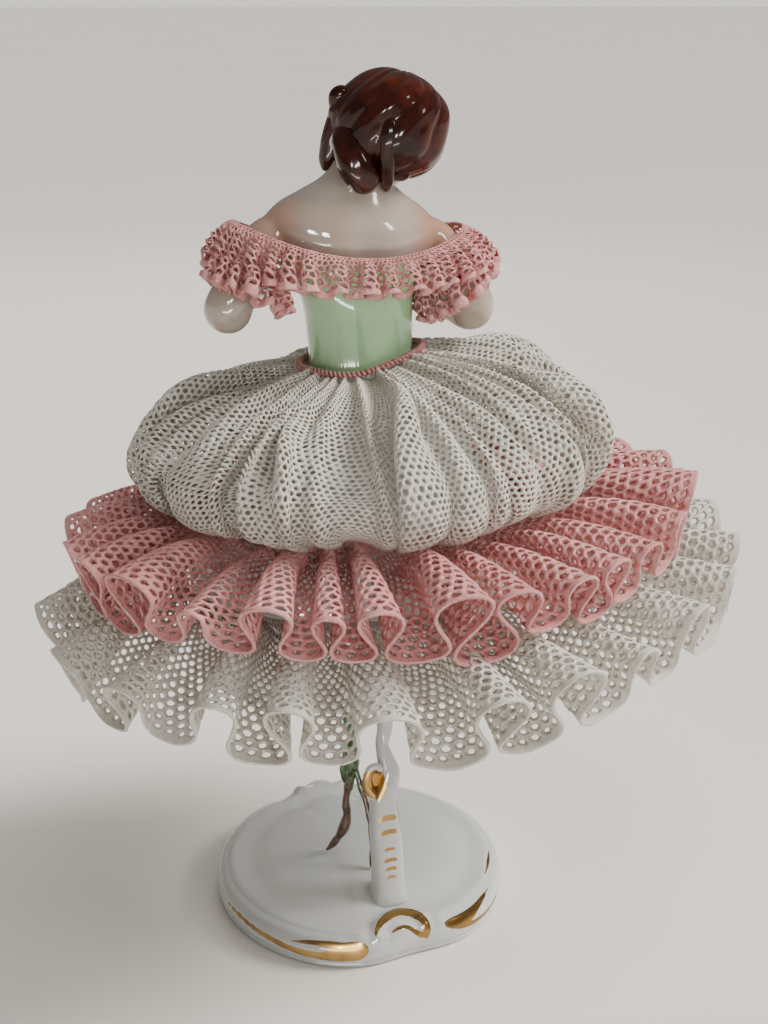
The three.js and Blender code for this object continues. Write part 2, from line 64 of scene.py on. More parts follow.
def look_from_behind():
    """The camera, at its reach from the middle along its turn, moved aside, and looking down by its fall."""
    out = np.array([np.sin(camera_turn), np.cos(camera_turn)])
    right = np.array([-np.cos(camera_turn), np.sin(camera_turn)])
    camera = bpy.data.objects.new("Camera", bpy.data.cameras.new("Camera"))
    camera.data.sensor_width = 36
    camera.data.lens = camera_lens
    camera.data.clip_start = 0.01
    level = camera_reach * out + camera_aside * right
    camera.location = (level[0] * MM, level[1] * MM, camera_rise * MM)
    camera.rotation_euler = (np.pi / 2 - camera_fall, 0, np.pi - camera_turn)
    bpy.context.scene.collection.objects.link(camera)
    bpy.context.scene.camera = camera


def soft_panel(name, turn, lift, away, width, height, power, gloss_only):
    """A panel of light that faces the lady from a distance away. turn is its angle to the right of the
    camera and lift its angle above the level, in degrees. A gloss-only panel shows in the glaze and adds no
    other light, and any other panel adds light and doesn't show."""
    light = bpy.data.lights.new(name, "AREA")
    light.shape = "RECTANGLE"
    light.size = width * MM
    light.size_y = height * MM
    light.energy = power
    light.color = panel_light
    panel = bpy.data.objects.new(name, light)
    round_her = camera_turn - np.radians(turn)
    climb = np.radians(lift)
    level = away * np.cos(climb)
    offset = Vector((level * np.sin(round_her), level * np.cos(round_her), away * np.sin(climb)))
    panel.location = (offset + Vector((0, 0, light_aim))) * MM
    panel.rotation_euler = (-offset).to_track_quat("-Z", "Y").to_euler()
    panel.visible_diffuse = not gloss_only
    panel.visible_glossy = gloss_only
    bpy.context.scene.collection.objects.link(panel)


class Field:
    """A value or colour that varies over a surface: one output of a material's nodes. Adding to it or
    multiplying it adds a Math node, and a plain number may come first."""

    def __init__(self, tree, socket=None):
        self.tree = tree
        self.socket = socket

    def node(self, kind, settings, inputs, output=0):
        """Adds a node of a kind, gives it its settings, then sets or links its inputs, by name or number."""
        made = self.tree.nodes.new(kind)
        for name, value in settings.items():
            setattr(made, name, value)
        for name, value in inputs.items():
            if isinstance(value, Field):
                self.tree.links.new(value.socket, made.inputs[name])
            else:
                made.inputs[name].default_value = value
        return Field(self.tree, made.outputs[output]) if made.outputs else None

    def maths(self, operation, *values):
        """The result of one Math node, from fields or plain numbers."""
        return self.node("ShaderNodeMath", {"operation": operation}, dict(enumerate(values)))

    def __add__(self, other):
        return self.maths("ADD", self, other)

    __radd__ = __add__

    def __mul__(self, other):
        return self.maths("MULTIPLY", self, other)

    __rmul__ = __mul__

    def ramp(self, low, high):
        """0 below low, 1 above high, and smooth between them."""
        settings = {"interpolation_type": "SMOOTHSTEP"}
        return self.node("ShaderNodeMapRange", settings, {"Value": self, "From Min": low, "From Max": high})

    def painted(self, under, over):
        """The under colour where this is 0 and the over colour where it is 1."""
        settings = {"data_type": "RGBA"}
        return self.node("ShaderNodeMix", settings, {0: self, 6: under, 7: over}, 2)

    def attribute(self, name):
        """A value that the mesh holds at its points."""
        return self.node("ShaderNodeAttribute", {"attribute_name": name}, {}, 2)

    def place(self):
        """Object coordinates, in metres."""
        return self.node("ShaderNodeTexCoord", {}, {}, 3)

    def mottle(self, scale, detail):
        """Cloudy noise from 0 to 1. Scale is in patches per metre."""
        inputs = {"Vector": self.place(), "Scale": scale, "Detail": detail}
        return self.node("ShaderNodeTexNoise", {}, inputs)

    def bump(self, height, distance):
        """A normal bent by a height field, whose full range is that distance in metres."""
        return self.node("ShaderNodeBump", {}, {"Strength": 1.0, "Distance": distance, "Height": height})


def new_finish(name, surface):
    """A material whose shader takes the inputs that surface(field) returns."""
    material = bpy.data.materials.new(name)
    material.use_nodes = True
    material.node_tree.nodes.clear()
    field = Field(material.node_tree)
    shader = field.node("ShaderNodeBsdfPrincipled", {}, surface(field))
    field.node("ShaderNodeOutputMaterial", {}, {"Surface": shader})
    return material


def sunlight(strength, direction):
    """Even soft light from one side, which reaches the whole floor alike."""
    light = bpy.data.lights.new("daylight", "SUN")
    light.energy = strength
    light.angle = np.radians(24)
    light.color = day_light
    sun = bpy.data.objects.new("daylight", light)
    sun.visible_glossy = False
    sun.rotation_euler = Vector(direction).to_track_quat("-Z", "Y").to_euler()
    bpy.context.scene.collection.objects.link(sun)


def light_walls(strength, seen):
    """Even light from all round. The walls themselves look paler than the light that they give."""
    world = bpy.data.worlds.new("room")
    world.use_nodes = True
    nodes = world.node_tree.nodes
    wall = nodes["Background"]
    wall.inputs["Color"].default_value = wall_light
    ray = nodes.new("ShaderNodeLightPath")
    level = nodes.new("ShaderNodeMapRange")
    level.inputs["To Min"].default_value = strength
    level.inputs["To Max"].default_value = seen
    world.node_tree.links.new(ray.outputs["Is Camera Ray"], level.inputs["Value"])
    world.node_tree.links.new(level.outputs["Result"], wall.inputs["Strength"])
    bpy.context.scene.world = world


def floor_surface(field):
    """A matt pale floor in two near shades, in broad soft patches."""
    warm = field.mottle(3, 2).ramp(0.3, 0.7)
    return {"Base Color": warm.painted(floor_shade, floor_colour), "Roughness": 0.65}


def lay_floor():
    """One wide level square at the foot of the base."""
    half = floor_width * MM / 2
    mesh = bpy.data.meshes.new("floor")
    corners = [(-half, -half, 0), (half, -half, 0), (half, half, 0), (-half, half, 0)]
    mesh.from_pydata(corners, [], [(0, 1, 2, 3)])
    mesh.materials.append(new_finish("pale_floor", floor_surface))
    floor = bpy.data.objects.new("floor", mesh)
    bpy.context.scene.collection.objects.link(floor)


look_from_behind()
lay_floor()
sunlight(strength=4.7, direction=(0.95, -0.2, -0.8))
light_walls(strength=0.2, seen=1.02)
soft_panel("window_left", -8, 13, 900, 80, 140, 2.4, True)
soft_panel("window_right", 8, 13, 900, 110, 140, 3.0, True)
soft_panel("low_window", -6, -13, 300, 220, 18, 0.3, True)
soft_panel("side_window", 58, 34, 800, 70, 200, 1.0, True)
soft_panel("ceiling", 30, 75, 800, 400, 400, 1.9, False)
soft_panel("fill", 45, 18, 900, 500, 400, 1.7, False)
soft_panel("front", 190, 30, 800, 500, 500, 1.4, False)

# Base: a cast oval dish in white glaze, a rounded rim with a shell front and back, and a shallow dome
# that the scroll grows out of. Gold is painted over the glaze along the rim.
base_width = 60
base_depth = 61
rim_height = 6.4
dome_rise = 2.8
shell_width = 13
shell_arch = 5.4
shell_lobe = 2.7
shell_swell = 1.6
shell_flat = 2.4
rim_notch = 1.5
channel_depth = 0.5
base_top = rim_height + dome_rise
rim_profile = [
    [0.92, 0.0],
    [0.975, 0.25],
    [0.988, 0.8],
    [0.984, 1.25],
    [0.998, 2.0],
    [1.0, 3.0],
    [0.988, 4.5],
    [0.955, 5.8],
    [0.91, 6.3],
]


def bell(distance, spread):
    """1 at no distance, falling off on both sides as a bell of that spread."""
    return np.exp(-((distance / spread) ** 2))


def smooth_step(value, low, high):
    """0 below low, 1 above high, and a smooth rise between them."""
    share = np.clip((value - low) / (high - low), 0, 1)
    return share * share * (3 - 2 * share)


def stack(*parts):
    """Points from their three coordinates, each a number or an array."""
    return np.stack(np.broadcast_arrays(*parts), -1)


def oval(half_width, half_depth, angle, height):
    """Points of level ovals: angle 0 is straight behind her and a quarter turn is her left side."""
    return stack(half_width * np.sin(angle), half_depth * np.cos(angle), height)


def through(stations, along):
    """Points at shares of the way along a smooth curve through stations. Each span is a cubic. At its
    ends it follows the chord between the neighbours, by the root of the distance to each."""
    known = np.asarray(stations, float)
    known = np.concatenate([[2 * known[0] - known[1]], known, [2 * known[-1] - known[-2]]])
    spans = len(known) - 3
    at = np.clip(np.asarray(along, float), 0, 1) * spans
    span = np.minimum(at.astype(int), spans - 1)
    share = (at - span)[..., None]
    p0, p1, p2, p3 = (known[span + k] for k in range(4))
    chords = (p1 - p0, p2 - p1, p3 - p2)
    d0, d1, d2 = (np.sqrt(np.linalg.norm(chord, axis=-1, keepdims=True)) for chord in chords)
    leave = ((p1 - p0) / d0 - (p2 - p0) / (d0 + d1) + (p2 - p1) / d1) * d1
    reach = ((p2 - p1) / d1 - (p3 - p1) / (d1 + d2) + (p3 - p2) / d2) * d1
    square = -3 * p1 + 3 * p2 - 2 * leave - reach
    cube = 2 * p1 - 2 * p2 + leave + reach
    return p1 + leave * share + square * share ** 2 + cube * share ** 3


def grid_quads(rows, columns, ring=False):
    """Quads between the neighbours of a grid whose columns close on themselves. In a ring its rows do too."""
    row = np.arange(rows if ring else rows - 1)[:, None]
    column = np.arange(columns)[None, :]
    after = (column + 1) % columns
    upper = row * columns
    lower = (row + 1) % rows * columns
    return np.stack([upper + column, upper + after, lower + after, lower + column], -1).reshape(-1, 4)


def closed_grid(points):
    """Points and faces of a grid of rings, each end ring shut by a fan of triangles to its middle."""
    rows, columns = points.shape[:2]
    ring = np.arange(columns)
    after = (ring + 1) % columns
    count = rows * columns
    first = np.stack([np.full(columns, count), after, ring], -1)
    last = np.stack([np.full(columns, count + 1), ring, after], -1) + [0, count - columns, count - columns]
    middles = [points[0].mean(0), points[-1].mean(0)]
    return np.concatenate([points.reshape(-1, 3), middles]), [grid_quads(rows, columns), first, last]


def join(shapes):
    """Points and faces of several shapes as one."""
    points = np.concatenate([shape[0] for shape in shapes])
    starts = np.cumsum([0] + [len(shape[0]) for shape in shapes])
    return points, [block + start for (_, faces), start in zip(shapes, starts) for block in faces]


def outward(shape):
    """The shape, its faces turned round if the volume that they enclose comes out negative."""
    points, faces = shape
    volume = 0
    for block in faces:
        for k in range(1, block.shape[1] - 1):
            a, b, c = (points[block[:, i]] for i in (0, k, k + 1))
            volume += np.einsum("ij,ij", a, np.cross(b, c))
    return points, faces if volume > 0 else [block[:, ::-1] for block in faces]


def finished_piece(name, shape, finish, nodes, fields=None):
    """A smooth mesh in metres from points in millimetres. It rides on the part's one body and stands for
    its CAD nodes. fields are values at its points that the finish reads."""
    points, faces = shape
    mesh = bpy.data.meshes.new(name)
    mesh.from_pydata((points * MM).tolist(), [], [face for block in faces for face in block.tolist()])
    mesh.shade_smooth()
    mesh.materials.append(finish)
    for field, values in (fields or {}).items():
        mesh.attributes.new(field, "FLOAT", "POINT").data.foreach_set("value", np.asarray(values, np.float32))
    piece = bpy.data.objects.new(name, mesh)
    bpy.context.scene.collection.objects.link(piece)
    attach(piece, "root")
    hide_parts(*nodes)


def padded_field(values, extra):
    """Values as one row, with a low filler for the extra points that come after them."""
    return np.concatenate([values.ravel(), np.full(extra, -9.0)])


def rim_reach(angle):
    """How far the rim reaches, as a share. Behind, it is drawn in flat at the shell. In front it swells
    over the shell and draws in beside it."""
    from_middle = np.arcsin(np.abs(np.sin(angle))) * base_depth / 2
    swell = shell_swell * bell(from_middle, shell_width / 2)
    notch = rim_notch * bell(from_middle - shell_width * 0.72, shell_width * 0.2)
    flat = shell_flat * bell(np.sin(angle + 0.06) * base_depth / 2, 9.5)
    behind = smooth_step(np.cos(angle), -0.1, 0.1)
    return 1 + (swell - notch - (swell - notch + flat) * behind) / base_width * 2


def base_surface():
    """A closed grid: round it by angle, and from under the foot over the rim to the middle of the dome.
    The rim's profile gives shares of the reach and heights. The shell is an arch on the rim with a smaller
    lobe in it, and a shallow channel runs inside the rim. Each point's turn, its way up the face and whether
    it lies behind come along for the gold."""
    angle = np.linspace(0, TURN, 288, endpoint=False)[None, :]
    edge = through(rim_profile, np.linspace(0, 1, 34))
    inside = np.linspace(0.9, 0.02, 30)
    share = np.concatenate([edge[:, 0], inside])[:, None]
    channel = channel_depth * bell(inside - 0.76, 0.09)
    dome = rim_height + dome_rise * np.cos(inside * np.pi / 2) ** 1.4 - channel
    level = np.concatenate([edge[:, 1], dome])[:, None]
    signed = (angle + np.pi / 2) % np.pi - np.pi / 2
    beside = signed * share * base_depth / 2 - 0.6
    inward = (1 - share) * base_depth / 2
    upper = smooth_step(level, 2.4, 4.4)
    from_arch = np.hypot(beside, inward - 0.6)
    arch = bell(from_arch - shell_arch, 1.2) + 0.9 * bell(from_arch, shell_lobe)
    droplet = 0.5 * bell(np.hypot(np.abs(beside) - 8.8, inward - 1.6), 1.5)
    height = level + (arch + droplet) * upper
    reach = share * rim_reach(angle)
    points = oval(base_width / 2 * reach, base_depth / 2 * reach, angle, height)
    profile = np.hypot(np.diff(share[:, 0]) * base_width / 2, np.diff(level[:, 0]))
    up = np.concatenate([[0], np.cumsum(profile)])[:, None]
    up = up - np.interp(1.25, edge[:10, 1], up[:10, 0])
    return points, *(np.broadcast_to(part, height.shape) for part in (signed, up, np.cos(angle) > 0))


gold_strokes = {
    "arch": [
        [13, 4.9, 0.15], [12.2, 6.2, 0.5], [9.2, 8.2, 0.85], [4.5, 9.7, 1.15], [-1.5, 9.9, 1.25],
        [-6.5, 8.1, 1.1], [-9, 6, 0.95], [-9.4, 4.2, 0.85], [-9, 2.9, 0.6],
    ],
    "crescent": [[7, 5.2, 0.1], [3, 5.5, 0.4], [-2, 5.0, 0.5], [-6, 3.6, 0.55], [-8.5, 2.9, 0.5]],
    "left": [
        [17.6, 3.3, 1.0], [20, 3.2, 1.75], [25, 3.15, 1.95], [29, 2.6, 1.4], [33, 2.1, 0.9],
        [38, 2.05, 0.75], [46, 2.25, 0.65], [55, 2.7, 0.6], [66, 3.1, 0.5], [76, 3.35, 0.45], [87, 3.2, 0.1],
    ],
    "left_tip": [[26, 4.3, 0.8], [30, 4.6, 0.65], [34, 4.6, 0.5], [39, 4.4, 0.4], [46, 3.8, 0.1]],
    "right": [
        [-18.5, 4.3, 0.7], [-21, 4.2, 1.15], [-25, 4.1, 1.35], [-29, 4.3, 1.2], [-34, 4.8, 0.8],
        [-40, 5.3, 0.45], [-47, 5.5, 0.05],
    ],
    "right_edge": [[-23, 3.2, 0.6], [-28, 2.6, 0.5], [-33, 2.35, 0.4], [-42, 2.35, 0.35], [-55, 3.2, 0.1]],
    "far_left": [[-73, 6.9, 0.1], [-65, 7.2, 0.35], [-53, 7.3, 0.1]],
}


def brushed(around, up, stations):
    """How far inside a brush stroke a point lies. Each station gives the degrees round the rim, the way
    up its face and the half width, and the stroke is the union of discs on a smooth line through them."""
    line = through(stations, np.linspace(0, 1, 60))
    aside = (np.degrees(around)[..., None] - line[:, 0]) * np.pi / 180 * base_depth / 2
    return (line[:, 2] - np.hypot(aside, up[..., None] - line[:, 1])).max(-1)


def base_gold(around, up, behind):
    """How far inside the painted gold a point lies, in millimetres. The same strokes are in front, where
    they stay on the rim's outer face."""
    gold = np.maximum.reduce([brushed(around, up, stations) for stations in gold_strokes.values()])
    return np.where(behind, gold, np.minimum(gold, 5.6 - up))


def white_glaze(field):
    """White porcelain under clear glaze, with gold painted where the mesh says."""
    gold = field.attribute("gold").ramp(-0.05, 0.05)
    worn = field.mottle(220, 2).ramp(0.2, 0.8)
    tone = field.mottle(60, 3).ramp(0.3, 0.75)
    white = tone.painted((0.56, 0.58, 0.57, 1), (0.61, 0.62, 0.60, 1))
    gilt = worn.painted((0.25, 0.135, 0.035, 1), (0.44, 0.27, 0.085, 1))
    ripple = field.mottle(110, 2)
    return {
        "Base Color": gold.painted(white, gilt),
        "Metallic": gold * 0.9,
        "Roughness": 0.08 + gold * (0.14 + worn * 0.1),
        "IOR": 1.52,
        "Coat Weight": 0.4,
        "Coat Roughness": 0.04,
        "Normal": field.bump(ripple, 0.00018),
    }


glaze = new_finish("white_glaze", white_glaze)
base_points, *rim_places = base_surface()
base_shape = outward(closed_grid(base_points))
base_fields = {"gold": padded_field(base_gold(*rim_places), 2)}
finished_piece("base", base_shape, glaze, ["rococo_base"], base_fields)

# Scroll: a porcelain strap that grows out of the base, swells into a volute half way up and flares
# under the underskirt. A curl stands on its side, and the strap's back has gold dashes.
scroll_height = 44
strap_stations = [
    [-0.2, 17.0, 6.6, 3.8, 3.6],
    [-0.2, 16.7, 9.6, 3.25, 3.0],
    [-0.3, 16.5, 13.0, 3.1, 2.7],
    [-0.3, 16.0, 17.0, 3.15, 2.5],
    [-0.1, 15.3, 21.8, 3.0, 2.4],
    [-0.1, 14.7, 25.2, 2.75, 2.2],
    [-0.2, 14.1, 28.0, 2.35, 2.2],
    [-1.2, 13.6, 30.6, 2.1, 2.3],
    [-1.9, 13.0, 32.8, 2.0, 2.2],
    [-1.3, 12.1, 35.9, 1.5, 1.9],
    [-1.0, 11.4, 38.2, 1.15, 1.7],
    [-1.7, 10.7, 41.0, 1.3, 1.9],
    [-2.0, 9.9, 44.5, 1.7, 2.4],
    [-1.6, 9.0, 48.8, 3.4, 3.6],
    [-1.0, 8.2, 52.8, 6.6, 5.6],
]


def limb(stations, steps, sides, side, blunt=0.0):
    """An oval section carried along a smooth path through [x, y, z, half width, half height] stations.
    side is the direction of its width, made square to the path. Over the blunt share of its length each
    end closes as a quarter circle."""
    along = (1 - np.cos(np.linspace(0.02, np.pi - 0.02, steps))) / 2 if blunt else np.linspace(0, 1, steps)
    path = through(stations, along)
    if blunt:
        from_end = np.clip(np.minimum(along, 1 - along) / blunt, 0, 1)
        path[:, 3:] *= np.sqrt(1 - (1 - from_end[:, None]) ** 2)
    middle = path[:, :3]
    forward = np.gradient(middle, axis=0)
    forward /= np.linalg.norm(forward, axis=1, keepdims=True)
    across = np.asarray(side, float) - forward * (forward @ np.asarray(side, float))[:, None]
    across /= np.linalg.norm(across, axis=1, keepdims=True)
    up = np.cross(forward, across)
    angle = np.linspace(0, TURN, sides, endpoint=False)[:, None]
    wide = across[:, None] * np.cos(angle) * path[:, None, 3:4]
    tall = up[:, None] * np.sin(angle) * path[:, None, 4:5]
    return middle[:, None] + wide + tall


def squared(rings):
    """A limb's rings, their ovals squared a little so that each side is a face with soft corners."""
    middle = rings.mean(1, keepdims=True)
    angle = np.linspace(0, TURN, rings.shape[1], endpoint=False)[None, :, None]
    return middle + (rings - middle) * (np.abs(np.cos(angle)) ** 3 + np.abs(np.sin(angle)) ** 3) ** (-1 / 3)


strap_dashes = [
    [12.9, 0.34, 0.7],
    [14.6, 0.38, 0.9],
    [16.4, 0.42, 1.0],
    [18.6, 0.36, 0.9],
    [22.2, 0.5, 1.2],
    [25.0, 0.55, 1.3],
]


def scroll_gold(points):
    """Level dashes up the strap's back, each a height, a half height and a half width, a line down its
    right edge, and the inner face of the volute."""
    x, y, z = np.moveaxis(points, -1, 0)
    gold = np.full(x.shape, -9.0)
    for height, half, wide in strap_dashes:
        beside = np.abs(x + 0.2)
        dash = half - np.hypot(np.maximum(beside - wide, 0), z - height + 0.12 * beside ** 2)
        gold = np.maximum(gold, np.where(y > 15, dash, -9))
    edge = 0.2 - np.abs(x + 2.75 - (z - 23.8) * 0.12)
    gold = np.maximum(gold, np.where((y > 15.2) & (z > 22) & (z < 27.6), edge, -9))
    recess = 2.9 - np.hypot((x - 1.9) * 1.25, z - 31.6)
    return np.maximum(gold, np.where(y > 11, np.minimum(recess, x + 0.3), -9))


curl_stations = [
    [0.2, 14.8, 27.8, 1.0, 1.2],
    [1.7, 14.2, 28.9, 1.0, 1.2],
    [2.7, 13.7, 30.6, 0.9, 1.1],
    [2.8, 13.5, 32.6, 0.9, 1.0],
    [2.0, 13.5, 34.4, 0.8, 0.9],
    [0.9, 13.8, 34.8, 0.7, 0.8],
    [0.1, 14.2, 33.9, 0.55, 0.6],
]
recess_stations = [
    [1.2, 12.2, 31.4, 1.9, 2.6],
    [1.2, 13.2, 31.4, 1.9, 2.6],
    [1.2, 13.7, 31.4, 1.3, 1.9],
    [1.2, 13.8, 31.4, 0.3, 0.4],
]
scroll_forms = [
    squared(limb(strap_stations, 120, 48, (1, 0, 0))),
    limb(curl_stations, 60, 24, (0, 1, 0), 0.08),
    limb(recess_stations, 14, 32, (1, 0, 0)),
]
scroll_shape = join([outward(closed_grid(form)) for form in scroll_forms])
scroll_fields = {"gold": scroll_gold(scroll_shape[0])}
finished_piece("scroll", scroll_shape, glaze, ["rococo_base"], scroll_fields)

# Twig: a stem with two feet on the base and leaves against the scroll. It is modelled by hand from
# the same porcelain and painted green above and brown at its feet.


def base_level(x, y):
    """The height of the dome at a place, plus the gap that the CAD keeps."""
    share = np.hypot(x / (base_width / 2), y / (base_depth / 2))
    return rim_height + dome_rise * np.cos(share * np.pi / 2) ** 1.4 + 0.35


twig_limbs = [
    [
        [7.5, 0.9, base_level(7.5, 0.9) + 0.1, 0.25, 0.25],
        [6.7, 1.2, 10.2, 0.6, 0.55],
        [5.7, 1.7, 11.8, 0.85, 0.8],
        [4.3, 2.4, 14.6, 1.1, 1.05],
        [3.6, 2.9, 18.1, 1.0, 1.0],
        [3.8, 2.9, 21.4, 0.75, 0.75],
        [3.2, 3.1, 25.2, 0.95, 0.9],
        [2.0, 3.5, 29.6, 0.8, 0.8],
        [2.4, 3.0, 36.0, 1.0, 1.0],
        [3.4, 1.4, 44.0, 1.2, 1.1],
        [3.4, 0.6, 52.7, 1.5, 1.5],
    ],
    [
        [0.6, 9.6, base_level(0.6, 9.6) + 0.2, 0.5, 0.5],
        [0.1, 8.4, 14.2, 0.6, 0.6],
        [0.3, 8.0, 18.3, 0.62, 0.62],
        [0.6, 7.0, 21.7, 0.6, 0.6],
        [1.3, 5.6, 25.2, 0.65, 0.65],
        [2.0, 4.0, 29.0, 0.6, 0.6],
    ],
    [
        [3.4, 3.6, 25.5, 0.3, 0.3],
        [4.2, 4.4, 28.0, 1.2, 0.45],
        [4.0, 4.7, 32.0, 1.5, 0.5],
        [3.2, 4.4, 36.5, 1.0, 0.45],
        [2.6, 4.0, 39.5, 0.3, 0.3],
    ],
]


def leaf_glaze(field):
    """Green over white clay, brown towards the feet, with darker streaks and a clear glaze."""
    height = field.node("ShaderNodeSeparateXYZ", {}, {0: field.place()}, 2)
    streak = field.mottle(900, 4)
    foot = (height + streak * 0.012).ramp(0.037, 0.029)
    green = streak.ramp(0.35, 0.7).painted((0.020, 0.075, 0.016, 1), (0.075, 0.19, 0.05, 1))
    brown = streak.ramp(0.35, 0.7).painted((0.060, 0.020, 0.008, 1), (0.16, 0.065, 0.026, 1))
    return {
        "Base Color": foot.painted(green, brown),
        "Roughness": 0.12 + streak * 0.15,
        "Coat Weight": 0.5,
        "Coat Roughness": 0.05,
        "Normal": field.bump(streak, 0.00015),
    }


def knotted(rings):
    """A twig's rings, each a little fatter or thinner, so that it has knots."""
    middle = rings.mean(1, keepdims=True)
    knot = 1 + 0.12 * np.sin(rings[:, :1, 2:] * 1.3) + 0.04 * np.sin(rings[:, :1, 2:] * 2.3)
    return middle + (rings - middle) * knot


twig_forms = [knotted(limb(stations, 60, 14, (1, 0.2, 0))) for stations in twig_limbs]
twig_shape = join([outward(closed_grid(form)) for form in twig_forms])
finished_piece("twig", twig_shape, new_finish("leaf_glaze", leaf_glaze), ["leafy_twig"])

# Lady: one hollow casting in white porcelain, arms and all. Her skin is left almost white with a blush
# on the shoulders, the bodice is painted light green, and her smooth underskirt stays white. The arms
# come out from under the collar, bend at the elbow and meet before her.
lady_height = 112
lady_foot = base_top + scroll_height
unit = lady_height / 100
waist_height = 54.3
waist_shift = -0.8
elbows = {"left": (22, 63.4), "right": (-19.2, 61.4)}
arm_width = 18.2
collar_rise = 4.4
collar_height = 71.4
swing_angle = -np.radians(70)
waist_dip = 1.5
waist_dip_turn = np.radians(20)
waist_tilt = 1.5
skin_white = (0.44, 0.37, 0.315, 1)
skin_blush = (0.45, 0.245, 0.165, 1)
bodice_green = (0.38, 0.64, 0.35, 1)
# The bodice's green in painted shade, used towards the collar and the arms.
bodice_shaded_green = (0.20, 0.41, 0.175, 1)
underskirt_white = (0.60, 0.615, 0.60, 1)
body_sections = [
    [0, 27.2, 22.8],
    [1.4, 28.8, 24.2],
    [11.6, 29.4, 25],
    [23.5, 27.9, 23.4],
    [34, 21.9, 18.4],
    [42, 14.6, 12.2],
    [47.6, 9.8, 8.2],
    [52, 8.7, 7.1],
    [58, 8.9, 7.3],
    [63.4, 9.2, 8],
    [68.8, 10.9, 8.2],
    [72.6, 13.8, 8.2],
    [75.8, 14.3, 7.4],
    [78.4, 12.3, 6],
    [80.8, 8.4, 4.9],
    [83, 5.5, 4.4],
    [88, 4.2, 4],
]


def pose(x, y, height):
    """From hundredths of her height to millimetres. Her waist bends to her right, her left shoulder is a
    little raised and her neck leans to her right."""
    raised = smooth_step(height, 58, 74)
    leaning = smooth_step(height, 79, 90)
    across = x + waist_shift * bell(height - waist_height, 13) + 0.8 * raised - 4 * leaning
    return stack(unit * across, unit * y, lady_foot + unit * (height + 0.06 * x * raised))


def body_surface():
    """Ovals of the body sections up to the neck, with the bust, the grooves of the spine and under the
    collar, the shoulder blades and the collar bones pressed into or out of them."""
    sections = through(body_sections, np.linspace(0, 1, 150))
    height, half_width, half_depth = sections.T[..., None]
    angle = np.linspace(0, TURN, 128, endpoint=False)[None, :]
    x = half_width * np.sin(angle)
    facing = np.maximum(0, -np.cos(angle))
    behind = np.maximum(0, np.cos(angle))
    bust = 3.2 * bell(np.abs(x) - 4.6, 3.4) * bell(height - 68.5, 5) * facing
    spine = (0.5 * bell(x, 2.6) * bell(height - 69, 11) + 1.2 * bell(height - 69.6, 3.6)) * behind
    blades = 0.25 * bell(np.abs(x) - 6.2, 2.6) * bell(height - 73, 3.6) * behind
    bones = 0.35 * bell(height - 77 + 0.1 * np.abs(x), 0.7) * bell(np.abs(x) - 5.5, 4) * facing
    y = half_depth * np.cos(angle) - bust - spine + blades - bones
    return pose(x, y, height)


def soft_spot(field, centre, radius):
    """1 at a place on the piece, in millimetres, fading to 0 at that radius."""
    offset = {"operation": "DISTANCE"}
    inputs = {0: field.place(), 1: tuple(value * MM for value in centre)}
    return field.node("ShaderNodeVectorMath", offset, inputs, 1).ramp(radius * MM, 0.15 * radius * MM)


def painted_body(field):
    """Skin with a blush on the shoulders and elbows, and the bodice painted green over it. Painted shade
    darkens the green towards its edges, under the collar and beside the arms. The underskirt is left white."""
    cloud = field.mottle(220, 3)
    blush = soft_spot(field, (-15.5, 4, 137), 11) * 1.3 + soft_spot(field, (17, 3, 139), 10)
    blush = blush + soft_spot(field, (5, 9, 139), 6) * 0.5 + soft_spot(field, (-21.5, 4, 121), 5) * 0.4
    skin = (blush * (0.35 + cloud * 0.7)).painted(skin_white, skin_blush)
    bodice = field.attribute("bodice")
    # Painted shade: the green darkens towards the bodice's edges, under the collar and beside the arms, with
    # some random tone mixed in.
    shade = bodice.ramp(3.0, 0.0) * 0.55 + cloud * 0.35
    green = shade.painted(bodice_green, bodice_shaded_green)
    dressed = bodice.ramp(-0.06, 0.06).painted(skin, green)
    return {
        "Base Color": field.attribute("skirt").ramp(-0.1, 0.1).painted(dressed, underskirt_white),
        "Roughness": 0.09 + cloud * 0.04,
        "IOR": 1.52,
        "Coat Weight": 0.6,
        "Coat Roughness": 0.03,
        "Normal": field.bump(field.mottle(90, 1), 0.00004),
    }


def posed(stations):
    """Stations in hundredths of her height as stations in millimetres."""
    rows = np.asarray(stations, float)
    return np.concatenate([pose(rows[:, 0], rows[:, 1], rows[:, 2]), unit * rows[:, 3:]], -1)


def arm_stations(elbow, elbow_height):
    """One arm from the shoulder over the elbow to the wrist and the palm, by where its elbow lies across
    her and how high."""
    side = np.sign(elbow)
    return posed([
        [side * 11.4, 0, 74.2, 3.4, 3],
        [side * 14.6, 0.4, 72.6, 3.5, 3.4],
        [elbow * 0.84, 1.4, 68.4, 3.3, 3.3],
        [elbow, 2, elbow_height, 3.9, 3.9],
        [elbow * 0.9, -3.6, elbow_height + 0.2, 3.1, 3.1],
        [elbow * 0.64, -11.6, 63.8, 2.3, 2.4],
        [side * 6.4, -18.8, 63.6, 1.5, 2.0],
        [side * 3.6, -21.0, 63.5, 1.3, 2.3],
        [side * 1.9, -22.2, 63.4, 0.9, 1.9],
    ])


def finger_stations(side, rank):
    """One finger of a hand that lies over the other: it starts in the palm and curls inward."""
    lift = (rank - 1.5) * 1.05
    over = -1.1 if side > 0 else 0.2
    return posed([
        [side * 3.2, -21.0, 63.4 + lift * 0.85, 0.62, 0.62],
        [side * 1.4, -22.4 + over * 0.5, 63.4 + lift, 0.60, 0.60],
        [side * -0.6, -23.0 + over, 63.2 + lift, 0.55, 0.55],
        [side * -2.2, -22.6 + over, 62.8 + lift, 0.44, 0.44],
    ])


def thumb_stations(side):
    """The thumb of a hand, up from the wrist and over the other hand."""
    return posed([
        [side * 4.2, -20.4, 64.2, 0.7, 0.7],
        [side * 2.8, -21.7, 65.0, 0.65, 0.65],
        [side * 1.2, -22.8, 65.2, 0.5, 0.5],
    ])


